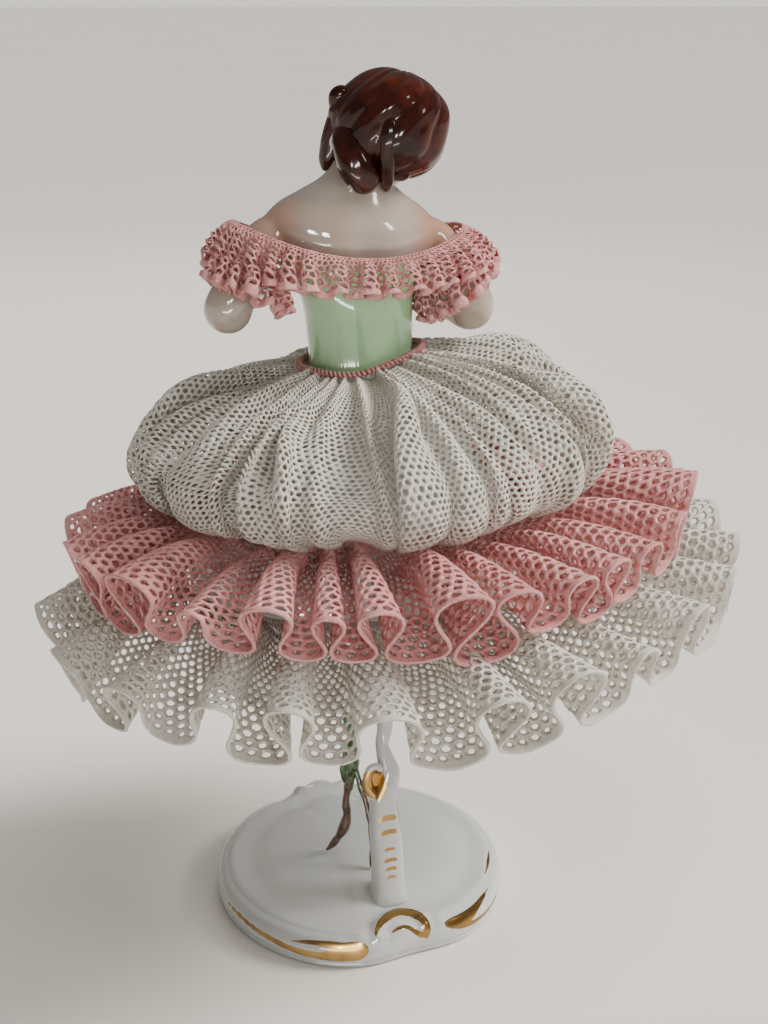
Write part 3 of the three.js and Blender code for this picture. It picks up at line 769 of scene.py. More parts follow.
def fused(shapes, grain, passes):
    """Several closed shapes made one skin, as clay joints are wiped smooth: a remesh at a grain in
    millimetres, then passes that move each point half way to its neighbours' middle."""
    mesh = bpy.data.meshes.new("clay")
    points, faces = join(shapes)
    mesh.from_pydata(points.tolist(), [], [face for block in faces for face in block.tolist()])
    clay = bpy.data.objects.new("clay", mesh)
    bpy.context.scene.collection.objects.link(clay)
    remesh = clay.modifiers.new("join", "REMESH")
    remesh.mode = "VOXEL"
    remesh.voxel_size = grain
    wiped = clay.modifiers.new("wipe", "SMOOTH")
    wiped.iterations = passes
    skin = clay.evaluated_get(bpy.context.evaluated_depsgraph_get()).to_mesh()
    spots = np.empty(len(skin.vertices) * 3)
    skin.vertices.foreach_get("co", spots)
    corners = np.empty(len(skin.loops), int)
    skin.loops.foreach_get("vertex_index", corners)
    bpy.data.objects.remove(clay)
    bpy.data.meshes.remove(mesh)
    return spots.reshape(-1, 3), [corners.reshape(-1, 4)]


def waist_level(angle):
    """Height of the braid round her waist: it dips to a soft point behind and in front."""
    tilt = waist_tilt * np.cos(angle - swing_angle)
    return lady_foot + unit * waist_height + tilt - waist_dip * bell(np.sin(angle - waist_dip_turn), 0.6)


def bodice_field(points):
    """How far inside the painted bodice a point lies, in millimetres: below the collar's seam and clear
    of both arms."""
    x, _, z = points.T
    edge = collar_height + collar_rise * (x / unit / arm_width) ** 2 - 1.2
    inside = pose(0 * x, 0 * x, edge)[:, 2] + 0.06 * x - z
    for elbow in elbows.values():
        line = through(arm_stations(*elbow), np.linspace(0, 1, 80))
        away = np.linalg.norm(points[:, None] - line[None, :, :3], axis=-1) - line[:, 3:].max(axis=1)
        inside = np.minimum(inside, away.min(-1) - 0.8)
    return inside


body_rings = body_surface()
waist_ring = 62
forms = [outward(closed_grid(body_rings[waist_ring:]))]
hands = []
for elbow in elbows.values():
    hand_side = np.sign(elbow[0])
    forms.append(outward(closed_grid(limb(arm_stations(*elbow), 90, 36, (0, 0, 1)))))
    fingers = [limb(finger_stations(hand_side, rank), 22, 12, (0, 0, 1)) for rank in range(4)]
    fingers.append(limb(thumb_stations(hand_side), 18, 12, (0, 0, 1)))
    hands += [outward(closed_grid(finger)) for finger in fingers]
upper_skin = outward(fused(forms, grain=0.5, passes=12))
underskirt = outward(closed_grid(body_rings[:waist_ring + 6]))
body_shape = join([upper_skin, underskirt, *hands])
body_x, body_y, body_z = body_shape[0].T
waist_line = waist_level(np.arctan2(body_x - unit * waist_shift, body_y))
hand_points = sum(len(points) for points, _ in hands)
body_fields = {
    "bodice": padded_field(bodice_field(body_shape[0][:-hand_points]), hand_points),
    "skirt": waist_line - 0.3 - body_z,
}
painted_porcelain = new_finish("painted_body", painted_body)
finished_piece("lady_body", body_shape, painted_porcelain, ["lady"], body_fields)

# Head: an egg of the same porcelain with brow, nose, lips and chin in low relief, set on the neck, turned
# to her right and bowed. Brows, eyes, lips and cheeks are painted on it.
head_middle = (-3.6, -1, 89.4)
head_turn = np.radians(48)
head_nod = np.radians(20)
head_tilt = np.radians(8)


def head_matrix():
    """Nod about the level side axis, then tilt to one side, then turn about the vertical."""
    cn, sn = np.cos(head_nod), np.sin(head_nod)
    ct, st = np.cos(-head_tilt), np.sin(-head_tilt)
    cv, sv = np.cos(-head_turn), np.sin(-head_turn)
    nod = np.array([[1, 0, 0], [0, cn, -sn], [0, sn, cn]])
    tilt = np.array([[ct, 0, st], [0, 1, 0], [-st, 0, ct]])
    around = np.array([[cv, -sv, 0], [sv, cv, 0], [0, 0, 1]])
    return around @ tilt @ nod


def on_head(local):
    """From the head's own axes, in hundredths of her height, to millimetres."""
    return local @ head_matrix().T * unit + pose(*head_middle)


def face_relief(across, rise):
    """How far the face stands out at a place across it and up it, both from -1 to 1. Eyes are half way
    up the head, the nose ends half way from brow to chin, and the mouth lies a third below it."""
    aside = np.abs(across)
    brow = 0.22 * bell(rise - 0.19, 0.08) * bell(aside - 0.3, 0.34)
    sockets = -0.55 * bell(aside - 0.4, 0.2) * bell(rise - 0.03, 0.11)
    lids = 0.42 * bell(aside - 0.4, 0.14) * bell(rise, 0.065)
    fall = np.clip((0.16 - rise) / 0.5, 0, 1)
    nose = (0.25 + 1.15 * fall) * bell(across, 0.1 + 0.07 * fall) * smooth_step(-rise, -0.2, 0.0)
    nose = nose * (1 - smooth_step(-rise, 0.33, 0.4))
    wings = 0.45 * bell(aside - 0.14, 0.07) * bell(rise + 0.31, 0.06)
    upper_lip = 0.34 * bell(rise + 0.52 - 0.02 * bell(across, 0.06), 0.04) * bell(across, 0.24)
    lower_lip = 0.42 * bell(rise + 0.62, 0.045) * bell(across, 0.19)
    mouth = 0.22 * bell(rise + 0.57, 0.016) * bell(across, 0.26)
    chin = 0.75 * bell(rise + 0.84, 0.14) * bell(across, 0.3)
    cheeks = 0.35 * bell(aside - 0.55, 0.26) * bell(rise + 0.28, 0.26)
    return brow + sockets + lids + nose + wings + upper_lip + lower_lip - mouth + chin + cheeks


def head_surface():
    """Rings from crown to chin. The columns crowd towards the face, and the jaw narrows below."""
    rise = np.cos(np.linspace(0.02, np.pi - 0.02, 120))[:, None]
    even = np.linspace(0, TURN, 140, endpoint=False)[None, :]
    angle = even + 0.42 * np.sin(even)
    girth = np.sqrt(1 - rise ** 2)
    x = np.sin(angle) * girth
    y = np.cos(angle) * girth
    jaw = 1 - 0.22 * smooth_step(-rise, 0, 1)
    front = smooth_step(-y, 0.05, 0.5)
    crown = 1 - 0.07 * smooth_step(rise, 0.55, 0.85)
    deep = 7.6 * y * jaw * crown - front * face_relief(x, rise)
    local = stack(6.4 * x * jaw * crown, deep, 8.6 * rise * crown)
    return on_head(local), x, np.broadcast_to(rise, x.shape), front


def face_paint(across, rise, front):
    """Signed distances inside each painted area, in shares of the half face: lips, whites, irises,
    pupils, and the lines of lashes and brows."""
    aside = np.abs(across) - 0.4
    upper_lip = 0.052 * bell(across, 0.2) - np.abs(rise + 0.525)
    lower_lip = 0.06 * bell(across, 0.17) - np.abs(rise + 0.615)
    whites = 0.052 * (1 - (aside / 0.16) ** 2) - np.abs(rise + 0.005)
    irises = np.minimum(0.06 - np.hypot(aside, (rise - 0.005) * 1.1), whites)
    pupils = np.minimum(0.028 - np.hypot(aside, (rise - 0.005) * 1.1), whites)
    lid = 0.012 - np.abs(rise - 0.05 + 2.1 * aside ** 2)
    lashes = np.where(np.abs(aside) < 0.17, lid, -1)
    arch = 0.016 * (1 - aside * 2) - np.abs(rise - 0.19 + 1.2 * (aside + 0.02) ** 2)
    brows = np.where(np.abs(aside) < 0.2, arch, -1)
    hidden = np.where(front > 0.5, 0, -5)
    areas = {
        "lips": np.maximum(upper_lip, lower_lip),
        "whites": whites,
        "irises": irises,
        "pupils": pupils,
        "lashes": lashes,
        "brows": brows,
    }
    return {name: padded_field(area + hidden, 2) for name, area in areas.items()}


def painted_face(field):
    """Skin with cheeks, then eyes, lashes, brows and lips painted over it."""
    cloud = field.mottle(160, 2)
    cheeks = field.attribute("cheeks")
    colour = (cheeks * 0.55).painted(skin_white, skin_blush)
    layers = (
        ("whites", (0.60, 0.60, 0.58, 1)),
        ("irises", (0.10, 0.17, 0.22, 1)),
        ("pupils", (0.012, 0.010, 0.010, 1)),
        ("lashes", (0.055, 0.025, 0.015, 1)),
        ("brows", (0.13, 0.055, 0.030, 1)),
        ("lips", (0.34, 0.10, 0.085, 1)),
    )
    for name, paint in layers:
        colour = field.attribute(name).ramp(-0.006, 0.006).painted(colour, paint)
    return {
        "Base Color": colour,
        "Roughness": 0.09 + cloud * 0.04,
        "IOR": 1.52,
        "Coat Weight": 0.6,
        "Coat Roughness": 0.03,
        "Normal": field.bump(field.mottle(90, 1), 0.00004),
    }


head_points, face_across, face_rise, face_front = head_surface()
head_shape = outward(closed_grid(head_points))
head_fields = face_paint(face_across, face_rise, face_front)
cheek_spots = bell(np.abs(face_across) - 0.55, 0.24) * bell(face_rise + 0.3, 0.2) * face_front
head_fields["cheeks"] = np.maximum(padded_field(cheek_spots, 2), 0)
face = new_finish("painted_face", painted_face)
finished_piece("head", head_shape, face, ["lady"], head_fields)

# Hair: modelled in thick smooth masses and painted red-brown under a deep glaze. It sweeps back from a
# parting to a roll low on the neck, with locks laid beside the roll and one curl left of the crown.


def hair_cap():
    """An ellipsoid set back on the head. It sinks under the skin inside an oval round the face. Broad
    soft waves and a few shallow combed lines run down it from the parting."""
    rise = np.cos(np.linspace(0.02, np.pi - 0.02, 84))[:, None]
    angle = np.linspace(0, TURN, 140, endpoint=False)[None, :]
    girth = np.sqrt(1 - rise ** 2)
    x = np.sin(angle) * girth
    y = np.cos(angle) * girth
    local = stack(9.4 * x, 8.8 * y + 2, 8.6 * rise + 0.8)
    around_face = np.hypot(local[..., 0] / 5.9, (local[..., 2] + 1.4) / 7.6)
    opening = (1 - smooth_step(around_face, 0.9, 1.08)) * smooth_step(-y, 0.1, 0.35)
    sweep = angle * 4.5 + 2.2 * rise + 0.8 * np.sin(angle * 2 + rise * 3)
    mass = 0.6 * np.abs(np.sin(sweep)) ** 0.6 - 0.25 + 0.06 * np.sin(sweep * 4.3 + rise * 3)
    parting = 0.35 * bell(x - 0.15 + 0.2 * rise, 0.06) * smooth_step(rise, -0.2, 0.5)
    wave = 0.22 * np.sin(rise * 6 + 2 * np.sin(angle))
    lift = 1 + (mass * girth - parting + wave * girth - 2.6 * opening) / 9
    centre = np.array([0, 2, 0.8])
    return on_head(centre + (local - centre) * lift[..., None])


def lock(stations, strands):
    """A lock of hair: a limb with round ends, its surface combed into a few shallow strands along it."""
    rings = limb(stations, 44, 30, (1, 0.3, 0), 0.22)
    angle = np.linspace(0, TURN, 30, endpoint=False)[None, :, None]
    twist = np.linspace(0, 1.2, 44)[:, None, None]
    comb = 1 + 0.035 * np.sin(strands * (angle + twist)) + 0.012 * np.sin(2.3 * strands * (angle - twist))
    middle = rings.mean(1, keepdims=True)
    return middle + (rings - middle) * comb


lock_stations = [
    [[1.6, -0.4, 155.4, 2.4, 2.6], [2.0, 3.0, 151.8, 3.0, 3.0], [1.2, 4.6, 148.6, 3.4, 3.2],
     [-0.4, 5.0, 146.0, 3.0, 2.8], [-1.8, 4.8, 144.4, 2.0, 2.0]],
    [[-4.2, 6.4, 159.4, 1.4, 1.2], [-3.6, 8.6, 154.6, 1.7, 1.6], [-3.4, 7.6, 150.0, 1.7, 1.6],
     [-3.8, 6.2, 146.6, 1.4, 1.4], [-4.1, 5.0, 143.8, 0.9, 0.9]],
    [[0.6, 1.6, 159.2, 1.8, 1.8], [2.0, -1.6, 156.4, 1.9, 2.2], [3.0, -3.0, 152.6, 1.9, 2.1],
     [3.8, -3.5, 149.4, 1.5, 1.8], [4.5, -3.8, 146.8, 0.9, 1.2]],
    [[-5.6, 5.4, 156.0, 2.2, 2.0], [-6.8, 6.0, 151.2, 2.8, 2.2], [-7.0, 5.2, 147.6, 2.2, 1.8],
     [-6.4, 4.2, 145.6, 1.0, 1.0]],
    [[0.0, -1.0, 157.6, 1.2, 1.2], [1.9, -1.7, 158.2, 1.8, 1.8], [2.3, -0.8, 160.0, 1.8, 1.6],
     [0.6, -0.2, 160.6, 1.0, 1.0]],
]


def painted_hair(field):
    """Red-brown paint, darker in random soft patches, with fine brushed streaks, under a deep glaze."""
    streak = field.mottle(420, 5)
    cloud = field.mottle(80, 2)
    tone = (streak * 0.5 + cloud * 0.7).ramp(0.38, 0.9)
    return {
        "Base Color": tone.painted((0.012, 0.002, 0.0012, 1), (0.080, 0.013, 0.0055, 1)),
        "Roughness": 0.2,
        "IOR": 1.2,
        "Coat Weight": 0.45,
        "Coat Roughness": 0.03,
        "Normal": field.bump(streak, 0.00003),
    }


hair_forms = [hair_cap()] + [lock(stations, 5) for stations in lock_stations]
hair_shape = join([outward(closed_grid(form)) for form in hair_forms])
finished_piece("hair", hair_shape, new_finish("painted_hair", painted_hair), ["lady"])

# White flounce: real lace soaked in slip, gathered in deep folds round the underskirt and fired, so
# that only porcelain strands are left round its holes. A solid selvedge edges the hem.
white_folds = 20
lace_half = 0.45
lace_gap = 0.35
edge_levels = [(0.30, 1.0), (0.62, 1.1), (0.86, 1.35), (1.0, 0.0)]
hem_waves = [(0.5, 31, 1.0, 0), (0.4, 57, 2.0, 0), (0.3, 113, 0.4, 0)]
filled_holes = 0.035


def tier_surface(stations, swing, rise_at):
    """A skirt tier before it is gathered, by turn and by share of the way down. Its half width, half
    depth and height run smoothly through stations, it swings to her right, and rise_at lifts it."""
    away = oval(1, 1, swing_angle, 0)

    def surface(around, down):
        """The oval at that share down, moved to the side by its share of the swing."""
        half_width, half_depth, height = np.moveaxis(through(stations, down), -1, 0)
        angle = TURN * around
        level = oval(half_width, half_depth, angle, height + rise_at(angle, down))
        return level + away * (swing * down)[..., None]

    return surface


def wander(angle, waves, down=0.0):
    """A slow uneven drift round the skirt: a sum of waves, each given by its strength, its turns round
    her, where it starts and how far it shifts on the way down."""
    return sum(
        strength * np.sin(turns * angle + start + fall * down) for strength, turns, start, fall in waves)


def gathered(
        surface, folds, depth_at, crowd=0.0, lean=0.0, curl=0.0, uneven=(), drift=(), crease=0.0, hang=0.0,
        proud=0.0):
    """The surface with folds, by the phase of the folds and the share down. Each fold stands square to
    the surface as a cosine, and lean and curl move its flanks so that the crests roll into loops. The
    share crease of the fold is a wide crest between narrow valleys, hang lets the crests drop, and proud
    stands the folds off the body at the seam."""
    small = 1e-3

    def drape(phase, down):
        """The place on the surface, moved along it by roll, out of it by wave and down by drop."""
        phase, down = np.broadcast_arrays(phase, down)
        even = phase / (TURN * folds)
        round_her = TURN * even
        bent = phase + wander(round_her, drift, down)
        start = even - crowd * np.sin(round_her) / TURN
        loose = 1 + wander(round_her, uneven, down)
        roll = lean * np.sin(bent) + curl * loose * np.sin(2 * bent)
        around = start + down * (1 - crowd * np.cos(round_her)) * roll / folds
        level = np.clip(down, small, 1 - small)
        along = surface(around + small, level) - surface(around - small, level)
        fall = surface(around, level + small) - surface(around, level - small)
        out = np.cross(fall, along)
        out /= np.linalg.norm(out, axis=-1, keepdims=True)
        valley = np.exp(-(1 + np.cos(bent)) / 0.32)
        fold = (1 - crease) * np.cos(bent) + crease * (0.5 - 1.75 * valley)
        wave = depth_at(down) * (loose * fold + proud * (1 - level) ** 3)
        drop = hang * down ** 2 * np.cos(bent)
        return surface(around, down) + out * wave[..., None] - stack(0, 0, drop)

    return drape


def evenly(drape, folds, count, down):
    """Phases whose places are equally far apart along the folded cloth, at each share of the way down."""
    phase = np.linspace(0, TURN * folds, folds * 30 + 1)
    cloth = drape(phase[None, :], down[:, None])
    length = np.cumsum(np.linalg.norm(np.diff(cloth, axis=1), axis=2), axis=1)
    length = np.concatenate([np.zeros((len(down), 1)), length], axis=1)
    return np.stack([np.interp(np.arange(count) / count * row[-1], row, phase) for row in length])


def thicken(points, normals, half, quads):
    """Two skins either side of a middle surface. They meet where half the thickness is 0, and a wall
    closes every other open edge."""
    count = len(points)
    thin = half == 0
    lower = np.where(thin, np.arange(count), count + np.cumsum(~thin) - 1)
    edges = np.concatenate([quads[:, [k, (k + 1) % 4]] for k in range(4)])
    lone = edges[~np.isin(edges[:, 0] * count + edges[:, 1], edges[:, 1] * count + edges[:, 0])]
    lone = lone[~thin[lone].any(axis=1)]
    walls = np.stack([lone[:, 1], lone[:, 0], lower[lone[:, 0]], lower[lone[:, 1]]], -1)
    offset = normals * half[:, None]
    skins = np.concatenate([points + offset, (points - offset)[~thin]])
    return skins, [quads, lower[quads[:, ::-1]], walls]


def net_lines(drape, folds, columns, rows, border, ragged, jitter, chance):
    """The zigzag lines that a net's junctions lie on, each junction moved a little by chance, and the lines
    of the border below them. The border ends at the hem, which wanders by ragged. Each edge level is a
    line's share of the way down the border, and its thickness as a share of the net's."""
    column = np.arange(columns)[None, :]
    line = np.arange(rows + 1)[:, None]
    zigzag = np.where((column + line) % 2 == 0, 1, -1) / 6
    shift = np.clip(chance.normal(0, jitter, (2, rows + 1, columns)), -0.25, 0.25)
    hem = 1 + ragged * (wander(column[0] / columns * TURN, hem_waves) - 1.2)
    net_end = 1 - border - 2.4 * ragged
    down = np.clip((line + zigzag + shift[1] * 0.6) / (rows + 1 / 3) * net_end, 0, 1)
    phases = evenly(drape, folds, columns, line[:, 0] / (rows + 1 / 3) * net_end)
    ahead = np.concatenate([phases[:, 1:], phases[:, :1] + TURN * folds], axis=1)
    net = drape(phases + shift[0] * (ahead - phases), down)
    last = down[-1]
    return np.concatenate([net, [drape(phases[-1], last + (hem - last) * share) for share, _ in edge_levels]])


def net_holes(lines, rows, part, strand, tight, chance):
    """The holes of the part, as the numbers of each one's six junctions and the points of its edge: the
    junctions drawn in to their middle by the strand's share. A few holes are filled with slip, those near
    the hem are smaller, and those in the tight share below the seam are drawn nearly shut."""
    columns = lines.shape[1]
    hole_line, hole_column = np.nonzero((np.arange(columns) + np.arange(rows)[:, None]) % 2 == 1)
    kept = (hole_column >= part[0] * columns) & (hole_column < part[1] * columns)
    hole_line, hole_column = hole_line[kept], hole_column[kept]
    ring_line = hole_line[:, None] + [0, 0, 0, 1, 1, 1]
    ring_column = (hole_column[:, None] + [-1, 0, 1, 1, 0, -1]) % columns
    ring = ring_line * columns + ring_column
    corners = lines.reshape(-1, 3)[ring]
    centre = corners.mean(1, keepdims=True)
    size = 1 - strand * chance.uniform(0.75, 1.3, (len(ring), 1, 1))
    size = np.where(chance.random(size.shape) < filled_holes, 0.12, size)
    near_hem = smooth_step(hole_line / rows, 0.85, 1)
    below_seam = smooth_step((hole_line + 1) / rows, 0, tight + 1e-6)
    size = size * ((1 - 0.2 * near_hem) * (0.3 + 0.7 * below_seam))[:, None, None]
    return ring, centre + (corners - centre) * size


def lace_strip(drape, folds, holes, rows, strand, border, half, ragged, seed, part, jitter=0.08, tight=0.0):
    """A strip of net with real holes: holes is their number in one row round the strip, and half is half
    the net's thickness. Junctions lie on zigzag lines, six round each hole, and both skins meet at a hole's
    edge. Below the last line a border, a share of the strip, runs to the hem, which a bead edges. part is
    the stretch of the strip to make, in turns."""
    chance = np.random.default_rng(seed)
    columns = 2 * holes
    lines = net_lines(drape, folds, columns, rows, border, ragged, jitter, chance)
    across = np.roll(lines, -1, axis=1) - np.roll(lines, 1, axis=1)
    normals = np.cross(np.gradient(lines, axis=0), across)
    normals /= np.maximum(np.linalg.norm(normals, axis=-1, keepdims=True), 1e-9)
    ring, inner = net_holes(lines, rows, part, strand, tight, chance)
    inner_ring = lines.shape[0] * columns + np.arange(ring.size).reshape(-1, 6)
    net = np.stack([ring, np.roll(ring, -1, axis=1), np.roll(inner_ring, -1, axis=1), inner_ring], -1)
    column = np.arange(columns)
    column = column[(column >= part[0] * columns) & (column < part[1] * columns)]
    after = (column + 1) % columns
    upper = np.arange(rows, rows + len(edge_levels))[:, None] * columns
    lower = upper + columns
    edge = np.stack([upper + column, upper + after, lower + after, lower + column], -1)
    quads = np.concatenate([net.reshape(-1, 4), edge.reshape(-1, 4)])
    points = np.concatenate([lines.reshape(-1, 3), inner.reshape(-1, 3)])
    every_normal = np.concatenate([normals.reshape(-1, 3), np.zeros((ring.size, 3))])
    thick = np.repeat([half] * (rows + 1) + [half * share for _, share in edge_levels], columns)
    half_thick = np.concatenate([thick, np.zeros(ring.size)])
    used, compact = np.unique(quads, return_inverse=True)
    return thicken(points[used], every_normal[used], half_thick[used], compact.reshape(quads.shape))


def lay_net(name, lengths, node, slot, finish, **net):
    """Makes a strip of net, in as many lengths as keep each one's faces few enough, and lays them as pieces
    of one CAD node."""
    for length in range(lengths):
        part = (length / lengths, (length + 1) / lengths)
        piece = name + "_" + str(length + 1) if lengths > 1 else name
        finished_piece(piece, outward(lace_strip(part=part, **net)), finish, [node])


def body_size(height):
    """Half width and half depth of the casting at a height in hundredths, in millimetres."""
    known = np.array(body_sections)
    return [unit * np.interp(height, known[:, 0], known[:, k]) for k in (1, 2)]


def flounce_surface(seam, hem_width, hem_depth, drop, dip, dip_turn, dip_spread, rise, swing):
    """A flounce leaves the underskirt at its seam. Its hem falls by the drop, by the dip as well behind
    and in front, and rises on the side that it swings to."""
    half_width, half_depth = body_size(seam)
    off = lace_gap + 2 * lace_half
    start = [half_width + off, half_depth + off, lady_foot + unit * seam]
    end = [hem_width / 2, hem_depth / 2, start[2] - drop]
    between = [(start[0] + end[0]) / 2, (start[1] + end[1]) / 2, start[2] - 0.16 * drop]

    def rise_at(angle, down):
        """Grows on the way down: up on the side that it swings to, and down behind and in front."""
        lowest = dip * bell(np.sin(angle - dip_turn), dip_spread)
        return down * (rise * np.cos(angle - swing_angle) - lowest)

    return tier_surface([start, between, end], swing, rise_at)


def lace_glaze(light, deep):
    """Fired lace: matt crests and glossy specks of glaze, and a deeper colour in random soft patches."""

    def surface(field):
        """Two shades of slip, with gloss where the fine grain stands high."""
        cloud = field.mottle(110, 3)
        grain = field.mottle(1500, 3)
        tone = (cloud * 0.7 + grain * 0.5).ramp(0.4, 0.85)
        return {
            "Base Color": tone.painted(deep, light),
            "Roughness": 0.2 + grain.ramp(0.35, 0.6) * 0.3,
            "IOR": 1.5,
            "Coat Weight": grain.ramp(0.5, 0.62) * 0.8,
            "Coat Roughness": 0.08,
            "Normal": field.bump(grain, 0.00012),
        }

    return surface


white_surface = flounce_surface(
    seam=17.5, hem_width=135, hem_depth=102, drop=8.2, dip=4.6, dip_turn=np.radians(2), dip_spread=0.5,
    rise=4, swing=9.5)
white_drape = gathered(
    white_surface, white_folds,
    lambda down: 2.0 * smooth_step(down, 0, 0.15) + 3.0 * smooth_step(down, 0.05, 0.95),
    crowd=0.25, lean=0.05, curl=0.17, uneven=((0.25, 3, 0.5, 1), (0.2, 7, 2.0, 0), (0.18, 11, 4.0, 1)),
    drift=((1.5, 0, 1.6, 0), (0.7, 5, 1.0, 0.8), (0.5, 9, 0.3, -0.6)), crease=0.25, hang=2.4, proud=1.0)
white_lace = new_finish("white_lace", lace_glaze((0.73, 0.695, 0.625, 1), (0.61, 0.575, 0.505, 1)))
lay_net(
    "white_flounce_lace", 2, "white_flounce", "white_lace", white_lace, drape=white_drape,
    folds=white_folds, holes=345, rows=22, strand=0.5, border=0.006, half=0.26, ragged=0.011, seed=1,
    jitter=0.09, tight=0.12)

# Pink flounce: the same lace soaked in pink slip, gathered in tighter folds that roll over at the hem. It
# is laid round the underskirt above the white flounce and fired on.
pink_folds = 26
pink_surface = flounce_surface(
    seam=29.5, hem_width=119, hem_depth=99, drop=5, dip=2.6, dip_turn=0, dip_spread=0.7, rise=2.4, swing=5.6)
pink_drape = gathered(
    pink_surface, pink_folds,
    lambda down: 1.8 * smooth_step(down, 0, 0.15) + 2.5 * smooth_step(down, 0.05, 0.95),
    crowd=0.25, lean=0.05, curl=0.24, uneven=((0.3, 4, 0.2, 1), (0.25, 9, 1.0, 0), (0.2, 14, 2.0, 0)),
    drift=((0.8, 6, 2.0, 0.9), (0.6, 11, 0.8, -0.7)), crease=0.1, hang=1.2, proud=1.0)
pink_lace = new_finish("pink_lace", lace_glaze((0.76, 0.37, 0.36, 1), (0.60, 0.255, 0.245, 1)))
lay_net(
    "pink_flounce_lace", 1, "pink_flounce", "pink_lace", pink_lace, drape=pink_drape, folds=pink_folds,
    holes=380, rows=18, strand=0.5, border=0.008, half=0.25, ragged=0.006, seed=2, jitter=0.09, tight=0.12)

# Overskirt: a fine white net, gathered at the waist, puffed out and tucked back on to the pink
# flounce. It is one strip, made here in three lengths.
braid_radius = 0.7
overskirt_width = 90
overskirt_depth = 79
overskirt_fold = 1.5
overskirt_folds = 34
puff_folds = 15
pink_fold = 4
under_lip = 0.3
puff_profile = [[0.24, 0.09], [0.385, 0.29], [0.48, 0.58], [0.475, 0.84], [0.4, 1]]


def waist_size(angle):
    """Half width and half depth of the casting at the braid's top or bottom, whichever is larger."""
    levels = [(waist_level(angle) + off - lady_foot) / unit for off in (-braid_radius, braid_radius)]
    return [np.maximum(*sizes) for sizes in zip(*map(body_size, levels))]


def overskirt_surface():
    """From under the braid out over the puff and in under it, down to the pink flounce. The puff's profile
    gives shares of the width and of the fall, and its stations are spaced evenly along it. Its lip lies on
    the flounce's folds, under_lip of the way down them."""
    half_width, half_depth = (size[0] for size in waist_size(np.zeros(1)))
    out = lace_gap + lace_half + 0.4
    seam = lady_foot + unit * waist_height - 0.9
    room = under_lip * pink_fold + 0.6 * overskirt_fold + lace_gap

    def lip_at(angle):
        """The height at which the puff rests on the pink flounce."""
        return pink_surface(angle / TURN, np.full_like(angle, under_lip))[..., 2] + room

    behind = lip_at(np.zeros(1))[0]
    stations = [[half_width + out, half_depth + out, seam]]
    for share, fall in puff_profile:
        stations.append([overskirt_width * share, overskirt_depth * share, seam - (seam - behind) * fall])

    def rise_at(angle, down):
        """Follows the braid at the waist and the flounce at the lip, with soft lobes near it."""
        waist = (waist_level(angle) - lady_foot - unit * waist_height) * (1 - down)
        lifted = np.sin(np.pi * down) * np.cos(angle - swing_angle)
        lobes = 0.7 * np.sin(15 * angle + 1.5 * np.sin(3 * angle)) * smooth_step(down, 0.45, 0.95)
        return waist + lifted + lobes + (lip_at(angle) - behind) * down ** 2

    profile = through(stations, np.linspace(0, 1, 300))
    length = np.concatenate([[0], np.cumsum(np.linalg.norm(np.diff(profile[:, 1:], axis=0), axis=1))])
    even = np.linspace(0, length[-1], 14)
    surface = tier_surface(np.stack([np.interp(even, length, size) for size in profile.T], -1), 3.6, rise_at)
    return lambda around, down: surface(around, down) + stack(unit * waist_shift * (1 - down), 0, 0)


overskirt_puffs = gathered(
    overskirt_surface(), puff_folds,
    lambda down: 1.9 * smooth_step(down, 0.1, 0.65) - smooth_step(down, 0.75, 1), lean=0.03, curl=0.08,
    uneven=((0.35, 3, 0.2, 2), (0.3, 5, 1.0, -2)),
    drift=((1.3, 3, 0.5, 1.2), (0.9, 7, 2.0, -1.8), (0.5, 11, 1.0, 2.4)), crease=0.7)
overskirt_drape = gathered(
    lambda around, down: overskirt_puffs(TURN * puff_folds * around, down), overskirt_folds,
    lambda down: 0.6 + 1.45 * bell(down - 0.48, 0.32) - 0.3 * smooth_step(down, 0.8, 1), lean=0.03, curl=0.07,
    uneven=((0.45, 7, 0.2, 3), (0.45, 11, 1.0, -4)),
    drift=((1.6, 5, 2.0, 1.8), (1.3, 9, 0.8, -2.8), (0.6, 16, 0.5, 3.0)), crease=0.6)
lay_net(
    "overskirt_lace", 3, "overskirt", "white_lace", white_lace, drape=overskirt_drape,
    folds=overskirt_folds, holes=290, rows=47, strand=0.57, border=0.01, half=0.18, ragged=0.0, seed=3,
    tight=0.15)

# Braid: two thin strands of pink slip, twisted round each other. It is laid along the waist over the edge
# of the overskirt's lace.
strand_radius = 0.38
helix_radius = 0.33
helix_turns = 42


def braid_surface(start):
    """One strand: a round section carried on a helix round the waist line, from a start angle."""
    along = np.linspace(0, TURN, 600, endpoint=False)
    half_width, half_depth = waist_size(along)
    line = oval(half_width + braid_radius + 1, half_depth + braid_radius + 1, along, waist_level(along))
    line[:, 0] += unit * waist_shift
    outward_way = oval(1, 1, along, 0)[:, None]
    upward_way = np.array([0, 0, 1])
    twist = (along * helix_turns + start)[:, None, None]
    core = line[:, None] + helix_radius * (outward_way * np.cos(twist) + upward_way * np.sin(twist))
    ring = np.linspace(0, TURN, 6, endpoint=False)[None, :, None]
    points = core + strand_radius * (outward_way * np.cos(ring) + upward_way * np.sin(ring))
    return points.reshape(-1, 3), [grid_quads(*points.shape[:2], ring=True)]


braid_shape = join([outward(braid_surface(start)) for start in (0, np.pi)])
pink_braid = new_finish("pink_braid", lace_glaze((0.62, 0.29, 0.27, 1), (0.42, 0.17, 0.16, 1)))
finished_piece("braid", braid_shape, pink_braid, ["waist_braid"])

# Collar and sleeve frills: narrow strips of the pink lace, gathered in small uneven folds and laid round
# the bare shoulders and each upper arm.
collar_fall = 8
collar_folds = 34
sleeve_folds = 15


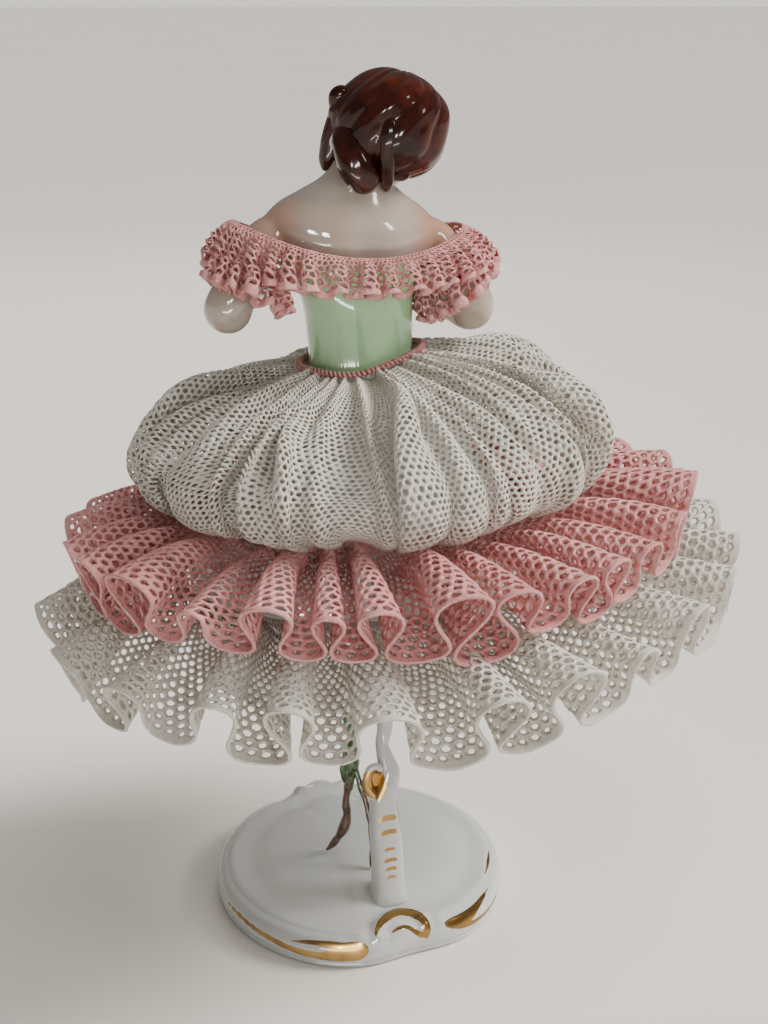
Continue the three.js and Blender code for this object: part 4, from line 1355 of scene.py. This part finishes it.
def collar_surface(around, down):
    """An oval seam out over the arms, raised at the sides. The frill stands out as a quarter sine and falls
    more and more steeply."""
    angle = TURN * around
    side = np.sin(angle) ** 2
    off = (lace_gap + lace_half) / unit
    chest = body_size(72)[1] / unit + off + np.where(np.cos(angle) > 0, 0.4, 3)
    reach = collar_fall / unit * (0.42 + 0.16 * side) * np.sin(down * np.pi / 2)
    drop = collar_fall / unit * (0.8 + 0.25 * side) * down ** 1.6
    x = (arm_width + off + reach) * np.sin(angle)
    y = (chest + 0.75 * reach) * np.cos(angle)
    return pose(x, y, collar_height + collar_rise * side - drop)


collar_drape = gathered(
    collar_surface, collar_folds, lambda down: 1.7 * smooth_step(down, 0.03, 0.9), lean=0.04, curl=0.2,
    uneven=((0.3, 3, 0.2, 0), (0.3, 8, 1.0, 1), (0.25, 13, 0.4, 0)),
    drift=((0.9, 5, 2.0, 1.0), (0.8, 9, 0.8, -1.2)), crease=0.15, hang=0.9)
lay_net(
    "collar_lace", 1, "lace_collar", "pink_lace", pink_lace, drape=collar_drape, folds=collar_folds,
    holes=150, rows=7, strand=0.47, border=0.02, half=0.22, ragged=0.02, seed=4, jitter=0.14)


def sleeve_surface(elbow):
    """Rings square to the arm, from below the shoulder to just above the elbow, shorter in front."""
    stations = arm_stations(*elbow)[:, :3]
    inward_way = np.array([-np.sign(elbow[0]), 0, 0])

    def surface(around, down):
        """A ring square to the arm there, wider on the way down and drawn in towards her."""
        angle = TURN * around
        front = np.maximum(0, -np.cos(angle))
        at = (1.6 + 1.1 * (1 - front) * down) / (len(stations) - 1)
        way = through(stations, at + 1e-3) - through(stations, at - 1e-3)
        way /= np.linalg.norm(way, axis=-1, keepdims=True)
        back = np.array([0, 1, 0]) - way * way[..., 1:2]
        back /= np.linalg.norm(back, axis=-1, keepdims=True)
        across = np.cross(way, back)
        radius = unit * (3.6 + 0.3 * down) + lace_gap + lace_half + 2.6 * np.sin(down * np.pi / 2)
        spread = across * (radius * np.sin(angle))[..., None] + back * (radius * np.cos(angle))[..., None]
        return through(stations, at) + spread + inward_way * 2.5 * down[..., None]

    return surface


for name, elbow in elbows.items():
    sleeve_drape = gathered(
        sleeve_surface(elbow), sleeve_folds, lambda down: 1.4 * smooth_step(down, 0, 0.9), lean=0.04,
        curl=0.16, uneven=((0.3, 3, 0.2, 0), (0.3, 5, 1.0, 0)), drift=((0.8, 4, 2.0, 1.0),), hang=0.8)
    lay_net(
        name + "_sleeve_lace", 1, name + "_sleeve_frill", "pink_lace", pink_lace, drape=sleeve_drape,
        folds=sleeve_folds, holes=62, rows=7, strand=0.47, border=0.03, half=0.22, ragged=0.03, seed=5,
        jitter=0.14)
